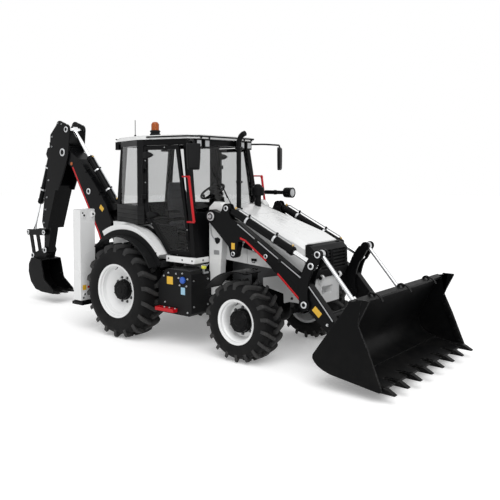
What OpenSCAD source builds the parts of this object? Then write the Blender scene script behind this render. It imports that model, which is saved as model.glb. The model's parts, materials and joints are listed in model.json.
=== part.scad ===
// Backhoe loader: wheeled tractor with a front loader bucket and a side-shift hoe at the rear.
// Millimetres, +X forward, +Y to the machine's left, ground at z = 0.

/* [Wheels] */
// Distance from the rear axle to the front axle
wheelbase = 2200; // [2180:5:2240]
// Distance between the centre planes of the rear tyres
rear_track = 1820; // [1800:5:1850]
// Distance between the centre planes of the front tyres
front_track = 1610; // [1600:5:1640]
// Rear tyre radius over the lugs
rear_tyre_r = 700; // [680:2:706]
// Rear tyre width
rear_tyre_w = 430; // [400:5:440]
// Rear rim radius at its flange
rear_rim_r = 385; // [370:5:400]
// Front tyre radius over the lugs
front_tyre_r = 530; // [515:1:535]
// Front tyre width
front_tyre_w = 400; // [370:5:405]
// Front rim radius at its flange
front_rim_r = 282; // [265:2:290]
// Height of the tyre lugs
lug_h = 38; // [34:1:42]
// Lugs in one row of a tyre
lug_count = 18; // [16:1:20]

/* [Cab] */
// Height of the roof above the ground
roof_top = 2985; // [2960:5:3040]
// Half width of the cab at its middle pillars
cab_half_w = 840; // [830:2:850]
// Thickness of the window glass
glass_t = 8; // [6:1:10]

/* [Loader] */
// Width of the loader bucket
loader_bucket_w = 2400; // [2350:10:2450]
// Thickness of the bucket shell
bucket_shell = 22; // [18:1:26]
// Half width over the outer faces of the loader arms
arm_outer_y = 640; // [636:1:644]
// Width of one loader arm
arm_w = 100; // [90:2:100]

/* [Hoe] */
// Width of the hoe bucket
hoe_bucket_w = 450; // [420:10:500]
// Half width of the boom
boom_half_w = 150; // [146:1:152]
// How far the swing axis lies behind the rear axle
swing_back = 1210; // [1205:1:1240]

/* [Fits] */
// Radial clearance of a pin in its bore
pin_fit = 0.06; // [0.02:0.01:0.1]
// Radial clearance of a piston rod in its barrel
rod_fit = 0.3; // [0.3:0.1:1]
// Gap between a moving piece and the piece beside it
side_gap = 7; // [5:1:9]

/* [Hidden] */
$fn = 64;
// Pin centres in the side view, as x and z from the rear axle and the ground
arm_pin = [1470, 1840];
tilt_base = [1745, 1960];
arm_ear = [1870, 1350];
lift_base = [1680, 1520];
lift_eye = [2420, 1360];
lever_pin = [3040, 810];
tilt_eye = [3140, 1300];
link_top = [3234, 1450];
link_low = [3740, 870];
bucket_pin = [3480, 510];
cross_tube = [3350, 660];
post_pin = [-swing_back - 90, 950];
boom_tip = [-2550, 2810];
boom_base = [-swing_back + 60, 1300];
boom_eye = [-1850, 2115];
dip_base = [-1240, 1860];
dip_eye = [-2440, 3220];
hoe_base = [-3140, 2830];
rock_pin = [-3240, 1310];
rock_tip = [-3760, 1290];
hoe_low = [-3650, 840];
hoe_pin = [-3250, 970];
// How far the front end moves forward with a longer wheelbase
front_shift = wheelbase - 2200;
// Reach of the machine at both ends and the shift that centres it
front_reach = 4500 + front_shift;
rock_tip_r = 55;
rear_reach = rock_tip[0] - rock_tip_r;
mid_x = (front_reach + rear_reach) / 2;
arm_in_y = arm_outer_y - arm_w;
arm_mid_y = arm_outer_y - arm_w / 2;
lift_y = arm_in_y - 55;
rear_wheel_y = rear_track / 2;
front_wheel_y = front_track / 2;
kingpin_y = front_wheel_y - 205;
leg_in_y = 855;
leg_out_y = 1130;
leg_x = [-970, -790];
rail_y = [190, 280];
shelf_z = 1680;
cab_front = 1310 + front_shift;
wall_top = 1880;
pillar_foot_y = [700, 790];
pillar_head_y = [620, 705];
pillar_w = 75;
fender_c = [-30, shelf_z - 973];
bonnet_half_w = 425;
bonnet_chamfer = 75;
bonnet_sheet = 15;
hood_hinge = [3005, 1085];
hinge_lug_r = 40;
cowl_side = [[1385, 1240], [1940, 1200], [1940, 1870.5], [1560, 1985.5], [1385, 1985.5]];
cowl_top = 1950;
ring_z = 2840;
ring_top = 2925;
sill_z = 1180;
sill_top = 1265;
door_t = 40;
tie_r = 30;
hinge_z = [2060, 2500];
hinge_h = 60;
door_axis = [335, cab_half_w + 22];
door_turn = -atan2(cab_half_w - 760, 880 + front_shift);
door_frame_w = 48;
jaw_z = [640, 1042];
jaw_r = 78;
function windscreen_x(z) = cab_front - (z - sill_top) * 0.145;
function ang(p, q) = atan2(q[1] - p[1], q[0] - p[0]);
function polar(r, a) = [r * cos(a), r * sin(a)];
function rear_x(z) = -600 + (z - cowl_top) * 0.11;
function both_sides(pts) = concat(pts, [for (i = [len(pts) - 1:-1:0]) [pts[i][0], -pts[i][1]]]);

// Side-view outline carried from y0 to y1
module plate(y0, y1) {
  translate([0, y1, 0])
    rotate([90, 0, 0])
      linear_extrude(y1 - y0)
        children();
}

// Round bar across the machine, centred on a side-view point
module bar_y(p, r, y0, y1) {
  translate([p[0], y1, p[1]])
    rotate([90, 0, 0])
      cylinder(r = r, h = y1 - y0);
}

// Local z axis laid along side-view angle a
module along(p, a, y) {
  translate([p[0], y, p[1]])
    rotate([0, 90 - a, 0])
      children();
}

// Front end, which stays with the front axle
module fore() {
  translate([front_shift, 0, 0])
    children();
}

// The same thing on both sides
module pair() {
  children();
  mirror([0, 1, 0])
    children();
}

// Box from two corners
module block(a, b) {
  translate(a)
    cube(b - a);
}

// Tapered bar with round ends, drawn flat
module taper(p, q, rp, rq) {
  a = ang(p, q);
  t = acos((rp - rq) / norm(q - p));
  translate(p)
    circle(r = rp);
  translate(q)
    circle(r = rq);
  polygon([p + polar(rp, a + t), q + polar(rq, a + t), q + polar(rq, a - t), p + polar(rp, a - t)]);
}

// Ring sector about the y axis of a wheel, from angle a0 to a1
module arch(c, r0, r1, a0, a1, y0, y1) {
  translate([c[0], y1, c[1]])
    rotate([90, 0, 0])
      rotate([0, 0, a0])
        rotate_extrude(angle = a1 - a0)
          translate([r0, 0])
            square([r1 - r0, y1 - y0]);
}

// Fender: sheet over the wheel with a side sheet that hangs from its outer edge
module fender(c, r0, r1, a0, a1, y0, y1, t) {
  translate([c[0], y1, c[1]])
    rotate([90, 0, 0])
      rotate([0, 0, a0])
        rotate_extrude(angle = a1 - a0)
          polygon([[r0, 0], [r1, 0], [r1, y1 - y0], [r1 - t, y1 - y0], [r1 - t, t], [r0, t]]);
}

// Solid of revolution about the wheel axis, profile given as radius and y
module wheel_turn(c, y) {
  translate([c[0], y, c[1]])
    rotate([90, 0, 0])
      mirror([0, 0, 1])
        rotate_extrude()
          children();
}

// Barrel of a cylinder: eye at b, tube of length l towards e, bore for its rod
module barrel(b, e, y, r, l, rod_r, eye_r, eye_w, pin_r) {
  a = ang(b, e);
  neck = eye_r + 50;
  difference() {
    union() {
      along(b, a, y)
        translate([0, 0, eye_r * 0.6])
          cylinder(r = eye_w * 0.48, h = neck);
      along(b, a, y)
        translate([0, 0, neck])
          cylinder(r = r, h = l - neck);
      along(b, a, y)
        translate([0, 0, l - 70])
          cylinder(r = r * 1.14, h = 70);
      bar_y(b, eye_r, y - eye_w / 2, y + eye_w / 2);
    }
    bar_y(b, pin_r + pin_fit, y - r * 2, y + r * 2);
    along(b, a, y)
      translate([0, 0, neck + 12])
        cylinder(r = rod_r + rod_fit, h = l);
  }
}

// Rod of a cylinder: from s along the line b to e out to its eye at e, with the pin in the eye
module rod(b, e, y, s, rod_r, eye_r, eye_w, pin_r, pin_w) {
  a = ang(b, e);
  along(b, a, y)
    translate([0, 0, s])
      cylinder(r = rod_r, h = norm(e - b) - s);
  bar_y(e, eye_r, y - eye_w / 2, y + eye_w / 2);
  bar_y(e, pin_r, y - pin_w / 2, y + pin_w / 2);
}

// Frame rails, both axles and the sliding frame of the hoe
module chassis_frame() {
  rear_axle = [0, rear_tyre_r];
  front_axle = [wheelbase, front_tyre_r];
  color("#26282b") {
    difference() {
      union() {
        pair()
          block([leg_x[1], rail_y[0], 560], [leg_x[1] + 60, rail_y[1], 1300]);
        pair()
          block([leg_x[1], rail_y[0], 650], [wheelbase + 360, rail_y[1], 900]);
        pair()
          for (x = [-480, 1000])
            block([x, rail_y[0], 890], [x + 110, rail_y[1], sill_z]);
        for (x = [-700, 420, 1150, wheelbase - 90])
          block([x, -rail_y[0], 680], [x + 180, rail_y[0], 880]);
        bar_y(rear_axle, 115, -rear_wheel_y + 250, rear_wheel_y - 250);
        pair()
          bar_y(rear_axle, 150, rear_wheel_y - 285, rear_wheel_y - 225.5);
        pair()
          bar_y(rear_axle, 60, rear_wheel_y - 230, rear_wheel_y - 160);
        translate([0, 0, rear_tyre_r])
          sphere(r = 205);
        block([wheelbase - 85, -kingpin_y + 75, front_tyre_r - 75],
          [wheelbase + 85, kingpin_y - 75, front_tyre_r + 75]);
        block([wheelbase - 85, -170, front_tyre_r + 70], [wheelbase + 85, 170, 690]);
        pair()
          front_yoke();
        translate([wheelbase + 20, 0, front_tyre_r])
          sphere(r = 150);
      }
      pair()
        translate([wheelbase, kingpin_y, front_tyre_r - 200])
          cylinder(r = 30 + pin_fit, h = 400);
    }
  }
}

module front_yoke() {
  for (s = [-1, 1])
    translate([wheelbase, kingpin_y, front_tyre_r + s * 115 - 17])
      cylinder(r = 62, h = 34);
  for (s = [-1, 1])
    block([wheelbase - 62, kingpin_y - 110, front_tyre_r + s * 115 - 17],
      [wheelbase + 62, kingpin_y, front_tyre_r + s * 115 + 17]);
  block([wheelbase - 62, kingpin_y - 110, front_tyre_r - 132],
    [wheelbase + 62, kingpin_y - 74, front_tyre_r + 132]);
}

// Rear frame that the carriage slides on
module hoe_frame() {
  color("#26282b") {
    for (z = [560, 1180])
      block([leg_x[0], 0.4 - leg_in_y, z], [leg_x[1] - 0.4, leg_in_y - 0.4, z + 120]);
    pair()
      block([leg_x[0], leg_in_y - 130, 670], [leg_x[1] - 0.4, leg_in_y - 0.4, 1190]);
  }
}

// Lashing lugs on the front of the rear frame
module tie_lugs() {
  eye = [leg_x[1] + 62, 930];
  color("#26282b")
    pair()
      plate(leg_in_y - 80, leg_in_y - 50)
        difference() {
          union() {
            translate(eye)
              circle(r = 58);
            polygon([[leg_x[1], 860], [eye[0], 872], [eye[0], 988], [leg_x[1], 1000]]);
          }
          translate(eye)
            circle(r = tie_r);
        }
}

module engine_block() {
  color("#3a3d40")
    block([1480, -185, 880], [2380, 185, 1380]);
}

// White towers that carry the arm pins and the lift cylinders
module loader_towers() {
  color("#eeeeea")
    pair() {
      plate(425, arm_in_y - side_gap)
        union() {
          polygon([[1345, 880], [1540, 880], [1560, 1200], [1600, 1660], [1600, 1960], [1540, 2030], [1440, 2040],
            [1345, 1960]]);
          translate(arm_pin)
            circle(r = 105);
        }
      block([1345, rail_y[1], 720], [1540, 500, 900]);
      bar_y(arm_pin, 45, 500, arm_outer_y + 16);
      plate(430, lift_y - 32)
        taper([1560, 1540], lift_base, 90, 55);
      bar_y(lift_base, 26, 430, lift_y + 32);
    }
}

// Cross-section of the bonnet at x, with chamfered top edges
module bonnet_slice(x, low, top, inset) {
  w = bonnet_half_w - inset;
  c = bonnet_chamfer;
  translate([x, 0, 0])
    rotate([90, 0, 90])
      linear_extrude(0.02)
        polygon([[-w, low], [w, low], [w, top - inset - c], [w - c, top - inset], [c - w, top - inset],
          [-w, top - inset - c]]);
}

// Bonnet shell between two slices, given as x, lower edge and top
module bonnet_run(a, b, inset) {
  hull() {
    bonnet_slice(a[0], a[1], a[2], inset);
    bonnet_slice(b[0], b[1], b[2], inset);
  }
}

// Fixed rear part of the bonnet
module cowl() {
  color("#eeeeea")
    difference() {
      union() {
        bonnet_run([1385, 1240, 1985], [1560, 1228, 1985], 0);
        bonnet_run([1560, 1228, 1985], [1940, 1200, 1870], 0);
      }
      bonnet_run([1380, 1100, 1985], [1560, 1100, 1985], bonnet_sheet);
      bonnet_run([1559, 1100, 1985], [1950, 1100, 1867], bonnet_sheet);
    }
}

// Tilting front part of the bonnet
module hood() {
  color("#eeeeea") {
    difference() {
      union() {
        bonnet_run([1946, 1199, 1868], [2700, 1150, 1622], 0);
        bonnet_run([2700, 1150, 1622], [2880, 1150, 1535], 0);
      }
      bonnet_run([1940, 1000, 1870], [2700, 1000, 1622], bonnet_sheet);
      bonnet_run([2699, 1000, 1622], [2866, 1000, 1542], bonnet_sheet);
    }
  }
}

// Black grille in the nose of the hood, on the hinge bar of the hood
module grille() {
  color("#1d1f21") {
    difference() {
      plate(-405, 405)
        polygon([[2880.4, 1080.4], [2990, 1080.4], [3030, 1180], [3020, 1440], [2960, 1500], [2880.4, 1520]]);
      pair()
        plate(193, 237) {
          translate(hood_hinge)
            circle(r = hinge_lug_r + side_gap);
          polygon([[2870, 1070], [3010, 1070], [3010, 1134], [2870, 1134]]);
        }
      pair()
        for (i = [0:5])
          block([2992, 18, 1196 + i * 44], [3060, 345, 1218 + i * 44]);
    }
    pair()
      bar_y(hood_hinge, 22, 180, 250);
  }
}

module nose_weight() {
  color("#e8e8e4")
    difference() {
      union() {
        pair()
          plate(rail_y[1], rail_y[1] + 20)
            polygon([[2120, 900], [2120, 1010], [2460, 1080], [2560, 1080], [2560, 730], [2470, 700],
              [2460, 830]]);
        block([2560, -300, 730], [2960, 300, 1080]);
        pair()
          plate(200, 230)
            taper([2930, 1030], hood_hinge, 45, hinge_lug_r);
      }
      pair()
        bar_y(hood_hinge, 22 + pin_fit, 190, 240);
      block([2820, -130, 850], [2970, 130, 950]);
      translate([2905, 0, 700])
        cylinder(r = 20, h = 300);
    }
}

// Cab floor, sills, inner walls and the white rear fenders
module cab_floor() {
  color("#eeeeea") {
    block([-560, -645, sill_z], [cab_front, 645, sill_z + 40]);
    block([-575, -660, sill_z], [-560, 660, shelf_z]);
    pair() {
      block([-570, 645, sill_z], [820, 660, shelf_z]);
      block([780, 640, sill_z], [cab_front, 800, sill_z + 40]);
      block([780, 790, sill_z], [cab_front + 15, 830, sill_top]);
      block([780, 650, sill_z + 30], [830, 800, sill_top]);
      fender(fender_c, 850, 965, 36, 120, 652, 930, 15);
    }
  }
}

// Black flares over the rear tyres and the black shelf under the rear windows
module fender_trim() {
  c = [0, rear_tyre_r];
  color("#2a2c2e") {
    pair() {
      arch(c, 800, 900, 30, 130, 930, 945);
      arch(c, 795, 812, 30, 130, 945, 1080);
    }
    difference() {
      translate([0, 0, shelf_z])
        linear_extrude(cowl_top - shelf_z)
          polygon(both_sides([[-600, 560], [190, cab_half_w], [335, cab_half_w]]));
      translate([0, 0, shelf_z - 1])
        linear_extrude(cowl_top)
          polygon(both_sides([[-560, 530], [190, 640], [336, 640]]));
      translate([0, 0, shelf_z + 24])
        linear_extrude(cowl_top)
          polygon(both_sides([[-570, 540], [185, cab_half_w - 30], [336, cab_half_w - 30]]));
    }
  }
}

// Front pillar that leans back and inward from the sill to the roof ring
module front_pillar() {
  hull() {
    block([windscreen_x(sill_top) - pillar_w, pillar_foot_y[0], sill_top],
      [windscreen_x(sill_top), pillar_foot_y[1], sill_top + 0.02]);
    block([windscreen_x(ring_z) - pillar_w, pillar_head_y[0], ring_z],
      [windscreen_x(ring_z), pillar_head_y[1], ring_z + 0.02]);
  }
}

// Outer face of the front pillars at height z
function pillar_out(z) = pillar_foot_y[1]
  + (z - sill_top) / (ring_z - sill_top) * (pillar_head_y[1] - pillar_foot_y[1]);

// Half width of the windscreen between the front pillars at height z
function screen_half(z) = pillar_foot_y[0]
  + (z - sill_top) / (ring_z - sill_top) * (pillar_head_y[0] - pillar_foot_y[0]);

// Flat sheet between the front pillars, from height z0 to z1, its front face set back by b
module front_sheet(z0, z1, b, t, g) {
  lean = atan(0.145);
  translate([windscreen_x(z0) - b, 0, z0])
    rotate([0, -lean, 0])
      rotate([90, 0, 90])
        translate([0, 0, -t])
          linear_extrude(t)
            polygon([[-screen_half(z0) - g, 0], [screen_half(z0) + g, 0],
              [screen_half(z1) + g, (z1 - z0) / cos(lean)], [-screen_half(z1) - g, (z1 - z0) / cos(lean)]]);
}

// Black pillars, roof ring and front wall of the cab
module cab_frame() {
  head_x = windscreen_x(ring_z);
  color("#1b1d1f") {
    pair() {
      front_pillar();
      block([windscreen_x(sill_top) - pillar_w, pillar_foot_y[0], sill_z + 40.5],
        [windscreen_x(sill_top), pillar_foot_y[1], sill_top]);
      block([190, cab_half_w - 80, cowl_top], [330, cab_half_w, ring_z]);
      plate(480, 560)
        polygon([[rear_x(cowl_top), cowl_top], [rear_x(cowl_top) + 75, cowl_top], [rear_x(ring_z) + 75, ring_z],
          [rear_x(ring_z), ring_z]]);
      hinge_leaves();
    }
    difference() {
      translate([0, 0, ring_z])
        linear_extrude(ring_top - ring_z)
          polygon(both_sides([[rear_x(ring_z), 560], [190, cab_half_w], [330, cab_half_w],
            [head_x, pillar_head_y[1]]]));
      translate([0, 0, ring_z - 1])
        linear_extrude(ring_top)
          polygon(both_sides([[rear_x(ring_z) + 70, 480], [190, cab_half_w - 80], [330, cab_half_w - 80],
            [head_x - pillar_w, pillar_head_y[0]]]));
    }
    front_sheet(sill_z + 46, wall_top, 20, 35, 4);
  }
}

module cab_roof() {
  color("#f0f0ec")
    difference() {
      translate([0, 0, ring_top])
        linear_extrude(roof_top - ring_top)
          polygon(both_sides([[-640, 480], [-560, 590], [190, cab_half_w + 12], [330, cab_half_w + 12],
            [cab_front - 190, 730], [cab_front - 90, 600]]));
      translate([0, 0, roof_top - 18])
        difference() {
          translate([-1000, -1500, 0])
            cube([4000, 3000, 60]);
          translate([0, 0, -1])
            linear_extrude(80)
              polygon(both_sides([[-600, 460], [-540, 560], [190, cab_half_w - 20], [330, cab_half_w - 20],
                [cab_front - 210, 700], [cab_front - 125, 580]]));
        }
    }
}

// Windscreen, rear window and the two quarter windows
module cab_glass() {
  a = [-525, 545];
  b = [188, cab_half_w - 25];
  run = norm(b - a);
  turn = atan2(b[1] - a[1], b[0] - a[0]);
  lean = (rear_x(ring_z) - rear_x(cowl_top)) / cos(turn);
  color("#9fb4bb", 0.35) {
    front_sheet(wall_top + 6, ring_z - 2, 25, glass_t, -0.5);
    plate(-479.5, 479.5)
      polygon([[rear_x(cowl_top) + 20, cowl_top + 0.5], [rear_x(cowl_top) + 20 + glass_t, cowl_top + 0.5],
        [rear_x(ring_z) + 20 + glass_t, ring_z - 0.5], [rear_x(ring_z) + 20, ring_z - 0.5]]);
    pair()
      translate([a[0], a[1], 0])
        rotate([0, 0, turn])
          plate(-glass_t, 0)
            polygon([[4, cowl_top + 0.5], [run - 3, cowl_top + 0.5], [run - 3, ring_z - 0.5], [lean + 4, ring_z - 0.5]]);
  }
}

module seat() {
  color("#3b3d40") {
    block([230, -190, sill_z + 40], [560, 190, 1560]);
    block([160, -250, 1560], [660, 250, 1690]);
    plate(-240, 240)
      polygon([[160, 1690], [290, 1690], [200, 2330], [90, 2330]]);
  }
}

module controls() {
  color("#2b2d2f")
    translate([front_shift * 0.75, 0, 0]) {
      plate(-140, 140)
        polygon([[1000, sill_z + 40], [1160, sill_z + 40], [1060, 1900], [960, 1900]]);
      translate([930, 0, 1960])
        rotate([0, -35, 0]) {
          rotate_extrude()
            translate([190, 0])
              circle(r = 16);
          translate([0, 0, -150])
            cylinder(r = 24, h = 152);
          block([-190, -18, -6], [190, 18, 6]);
        }
    }
}

// Side tanks on brackets from the frame rails
module tanks() {
  front = wheelbase - front_tyre_r - 300;
  back = rear_tyre_r + 30;
  color("#232527")
    pair() {
      plate(545, 930)
        polygon([[back, 520], [back + 40, 470], [front - 40, 470], [front, 510], [front, 1050], [front - 40, 1090],
          [back + 150, 1090], [back, 900]]);
      for (x = [back + 110, front - 140])
        block([x, rail_y[1], 740], [x + 80, 546, 880]);
    }
}

// Red steps under the doors and red grab rails on the front pillars
module steps_handles() {
  color("#c4161c")
    pair() {
      block([rear_tyre_r + 40, 930.5, 505], [rear_tyre_r + 400, 1015, 555]);
      for (z = [1760, 2390]) {
        along([windscreen_x(z) - 35, z], 90, 0)
          translate([0, pillar_out(z) + 0.9, 0])
            rotate([-90, 0, 0])
              cylinder(r = 11, h = pillar_foot_y[1] + 35 - pillar_out(z));
        bar_x(windscreen_x(z) - 35, windscreen_x(z) + 85, pillar_foot_y[1] + 35, z, 11);
        translate([windscreen_x(z) - 35, pillar_foot_y[1] + 35, z])
          sphere(r = 13);
      }
      hull()
        for (z = [1760, 2390])
          translate([windscreen_x(z) + 85, pillar_foot_y[1] + 35, z])
            sphere(r = 15, $fn = 24);
    }
}

// Exhaust stack with a bent tip and the bowl of the air intake
module stacks() {
  color("#1e2022")
    difference() {
      union() {
        translate([1720, -335, 1800])
          cylinder(r = 33, h = 1080);
        translate([1720, -335, 2879])
          rotate([0, 28, 0])
            cylinder(r = 33, h = 90);
        translate([1720, -335, 2880])
          sphere(r = 33);
        translate([1640, 200, 1900])
          cylinder(r = 48, h = 220);
        translate([1640, 200, 2110])
          cylinder(r = 92, h = 110);
        translate([1640, 200, 2219])
          cylinder(r1 = 92, r2 = 60, h = 30);
      }
      plate(-430, 430)
        polygon(cowl_side);
    }
}

// Work lamps under the roof, head lamp on its arm, beacon foot and antenna
module lamps() {
  head_x = windscreen_x(ring_z);
  color("#1b1d1f") {
    pair() {
      for (y = [330, 500])
        block([head_x + 15, y, 2795], [head_x + 95, y + 130, ring_top - 0.5]);
      block([-630, 430, 2800], [-555, 560, ring_top - 0.5]);
      block([head_x + 0.4, 330, ring_top - 45], [head_x + 30, 630, ring_top - 0.5]);
      block([-570, 430, ring_top - 40], [rear_x(ring_z) - 0.4, 560, ring_top - 0.5]);
    }
    translate([60, -350, roof_top])
      cylinder(r = 72, h = 50);
    translate([-70, -640, roof_top])
      cylinder(r = 5, h = 255);
    translate([-70, -640, roof_top])
      cylinder(r = 16, h = 30);
    block([cab_front - 200, pillar_out(2090) + 0.2, 2090], [cab_front - 125, 800, 2190]);
    bar_x(cab_front - 130, cab_front + 420, 775, 2140, 20);
    bar_x(cab_front + 415, cab_front + 540, 775, 2140, 75);
  }
}

// Round bar along the machine from x0 to x1
module bar_x(x0, x1, y, z, r) {
  translate([x0, y, z])
    rotate([0, 90, 0])
      cylinder(r = r, h = x1 - x0);
}

module beacon() {
  color("#f0900c") {
    translate([60, -350, roof_top + 50])
      cylinder(r = 60, h = 110);
    translate([60, -350, roof_top + 159])
      cylinder(r1 = 60, r2 = 40, h = 24);
  }
}

// Mirrors on arms from the front corners of the roof ring
module mirrors() {
  head_x = windscreen_x(ring_z);
  tip = [head_x + 390, 980];
  root = [head_x + 8.4, pillar_head_y[1] - 15];
  color("#1b1d1f")
    pair() {
      translate([root[0], root[1], ring_top - 40])
        rotate([0, 0, atan2(tip[1] - root[1], tip[0] - root[0])])
          rotate([0, 90, 0])
            cylinder(r = 14, h = norm(tip - root));
      translate([tip[0], tip[1], 2800])
        cylinder(r = 14, h = ring_top - 2800 - 26);
      translate([tip[0], tip[1], 2480])
        rotate([0, 0, 24])
          block([-25, -120, 0], [25, 120, 360]);
    }
}

// White outer boxes of the stabilisers
module leg_tubes() {
  color("#ecece8")
    pair()
      difference() {
        block([leg_x[0], leg_in_y, 460], [leg_x[1], leg_out_y, 1870]);
        block([leg_x[0] + 14, leg_in_y + 14, 450], [leg_x[1] - 14, leg_out_y - 14, 1850]);
      }
}

module stabiliser() {
  block([leg_x[0] + 20, leg_in_y + 20, 440], [leg_x[1] - 20, leg_out_y - 20, 1780]);
  block([leg_x[0] + 14.5, leg_in_y + 14.5, 1640], [leg_x[1] - 14.5, leg_out_y - 14.5, 1760]);
  block([leg_x[0] - 25, leg_in_y - 15, 395], [leg_x[1] + 45, leg_out_y + 15, 440]);
}

module stabiliser_left() {
  color("#1d1f21")
    stabiliser();
}

module stabiliser_right() {
  color("#1d1f21")
    mirror([0, 1, 0])
      stabiliser();
}

// Door drawn flat, x from its hinge axis forward
module door_outline(g) {
  dx = door_axis[0];
  polygon([[8 + g, 1970 + g], [8 + g, ring_z - 12 - g], [windscreen_x(ring_z) - 92 - g - dx, ring_z - 12 - g],
    [windscreen_x(1285) - 92 - g - dx, 1285 + g], [445 + g * 0.8, 1285 + g], [185 + g * 0.8, 1640 + g],
    [70 + g, 1725 + g]]);
}

module door_panel() {
  translate([door_axis[0], door_axis[1], 0])
    rotate([0, 0, door_turn]) {
      plate(-22 - door_t, -22)
        difference() {
          door_outline(0);
          door_outline(door_frame_w);
        }
      for (z = hinge_z)
        difference() {
          union() {
            translate([0, 0, z])
              cylinder(r = 15, h = hinge_h);
            block([0, -24, z], [64, 6, z + hinge_h]);
          }
          translate([0, 0, z - 1])
            cylinder(r = 8 + pin_fit, h = hinge_h + 2);
        }
    }
}

// Pillar side of the door hinges
module hinge_leaves() {
  for (z = hinge_z) {
    translate([door_axis[0], door_axis[1], z - hinge_h - 0.5])
      cylinder(r = 15, h = hinge_h);
    translate([door_axis[0], door_axis[1], z - 20])
      cylinder(r = 8, h = hinge_h + 14);
    block([door_axis[0] - 55, cab_half_w - 10, z - hinge_h - 0.5], [door_axis[0], door_axis[1] + 6, z - 0.5]);
  }
}

module door_pane() {
  translate([door_axis[0], door_axis[1], 0])
    rotate([0, 0, door_turn])
      plate(-44 - glass_t, -44)
        door_outline(door_frame_w + 0.4);
}

module door_left() {
  color("#1b1d1f")
    door_panel();
}

module door_left_glass() {
  color("#9fb4bb", 0.35)
    door_pane();
}

module door_right() {
  color("#1b1d1f")
    mirror([0, 1, 0])
      door_panel();
}

module door_right_glass() {
  color("#9fb4bb", 0.35)
    mirror([0, 1, 0])
      door_pane();
}

// Steering knuckle with its spindle and the fender it carries
module knuckle() {
  c = [wheelbase, front_tyre_r];
  translate([wheelbase, kingpin_y, front_tyre_r - 97.5])
    cylinder(r = 60, h = 195);
  translate([wheelbase, kingpin_y, front_tyre_r - 130])
    cylinder(r = 30, h = 290);
  bar_y(c, 72, kingpin_y, kingpin_y + 144.5);
  bar_y(c, 45, kingpin_y + 100, kingpin_y + 210);
  block([wheelbase - 40, kingpin_y - 25, front_tyre_r + 138], [wheelbase + 40, kingpin_y, front_tyre_r + 652]);
  translate([wheelbase, kingpin_y, front_tyre_r + 138])
    cylinder(r = 40, h = 22);
  block([wheelbase - 40, kingpin_y - 25, front_tyre_r + 630],
    [wheelbase + 40, kingpin_y + 80, front_tyre_r + 645]);
  arch(c, 638, 650, 76, 144, kingpin_y + 60, kingpin_y + 390);
}

module knuckle_left() {
  color("#232527")
    knuckle();
}

module knuckle_right() {
  color("#232527")
    mirror([0, 1, 0])
      knuckle();
}

// Tyre: carcass with two staggered rows of slanting lugs
module tyre(c, y, r, w, rim) {
  tread = r - lug_h;
  lug_w = w * 0.13;
  reach = (w * 0.3 + lug_w) / 2;
  lug_top = sqrt(r * r - reach * reach);
  wheel_turn(c, y)
    polygon([[rim - 6, -w * 0.42], [rim + (r - rim) * 0.45, -w * 0.5], [tread - 40, -w * 0.46],
      [tread, -w * 0.32], [tread, w * 0.32], [tread - 40, w * 0.46], [rim + (r - rim) * 0.45, w * 0.5],
      [rim - 6, w * 0.42]]);
  for (s = [-1, 1])
    for (i = [0:lug_count - 1])
      translate([c[0], y, c[1]])
        rotate([0, 180 - asin(reach / r) + (i + (s + 1) / 4) * 360 / lug_count, 0])
          translate([0, 0, lug_top - lug_h - 45])
            linear_extrude(lug_h + 45)
              polygon([[-reach, -s * 12], [lug_w - reach, -s * 12], [reach, s * w * 0.44],
                [reach - lug_w, s * w * 0.44]]);
}

// Rim: barrel under the tyre, dished disc, hub and the boss behind it
module rim(c, y, rim_r, w, disc, boss, hub_r, hub_out, bore) {
  r0 = rim_r - 6.3;
  disc_r = hub_r + 70;
  difference() {
    wheel_turn(c, y)
      union() {
        polygon([[r0 - 24, -w * 0.43], [r0, -w * 0.43], [r0, w * 0.43], [r0 - 24, w * 0.43]]);
        polygon([[0, boss], [bore + 45, boss], [bore + 45, disc - 16], [disc_r, disc - 16], [r0 - 10, disc + 60],
          [r0 - 10, disc + 80], [disc_r, disc], [hub_r, disc], [hub_r, hub_out], [0, hub_out]]);
        polygon([[r0 - 24, w * 0.425], [rim_r + 14, w * 0.462], [rim_r + 14, w * 0.478],
          [r0 - 24, w * 0.45]]);
      }
    bar_y(c, bore + pin_fit, y - w, y + disc + 72);
  }
}

module tyre_front_left() {
  color("#151617")
    tyre([wheelbase, front_tyre_r], front_wheel_y, front_tyre_r, front_tyre_w, front_rim_r);
}

module tyre_front_right() {
  color("#151617")
    mirror([0, 1, 0])
      tyre([wheelbase, front_tyre_r], front_wheel_y, front_tyre_r, front_tyre_w, front_rim_r);
}

module tyre_rear_left() {
  color("#151617")
    tyre([0, rear_tyre_r], rear_wheel_y, rear_tyre_r, rear_tyre_w, rear_rim_r);
}

module tyre_rear_right() {
  color("#151617")
    mirror([0, 1, 0])
      tyre([0, rear_tyre_r], rear_wheel_y, rear_tyre_r, rear_tyre_w, rear_rim_r);
}

module rim_front() {
  rim([wheelbase, front_tyre_r], front_wheel_y, front_rim_r, front_tyre_w, 30, -60, 146, 150, 45);
}

module rim_rear() {
  rim([0, rear_tyre_r], rear_wheel_y, rear_rim_r, rear_tyre_w, 20, -225, 143, 130, 60);
}

module rim_front_left() {
  color("#ededea")
    rim_front();
}

module rim_front_right() {
  color("#ededea")
    mirror([0, 1, 0])
      rim_front();
}

module rim_rear_left() {
  color("#ededea")
    rim_rear();
}

module rim_rear_right() {
  color("#ededea")
    mirror([0, 1, 0])
      rim_rear();
}

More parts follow.
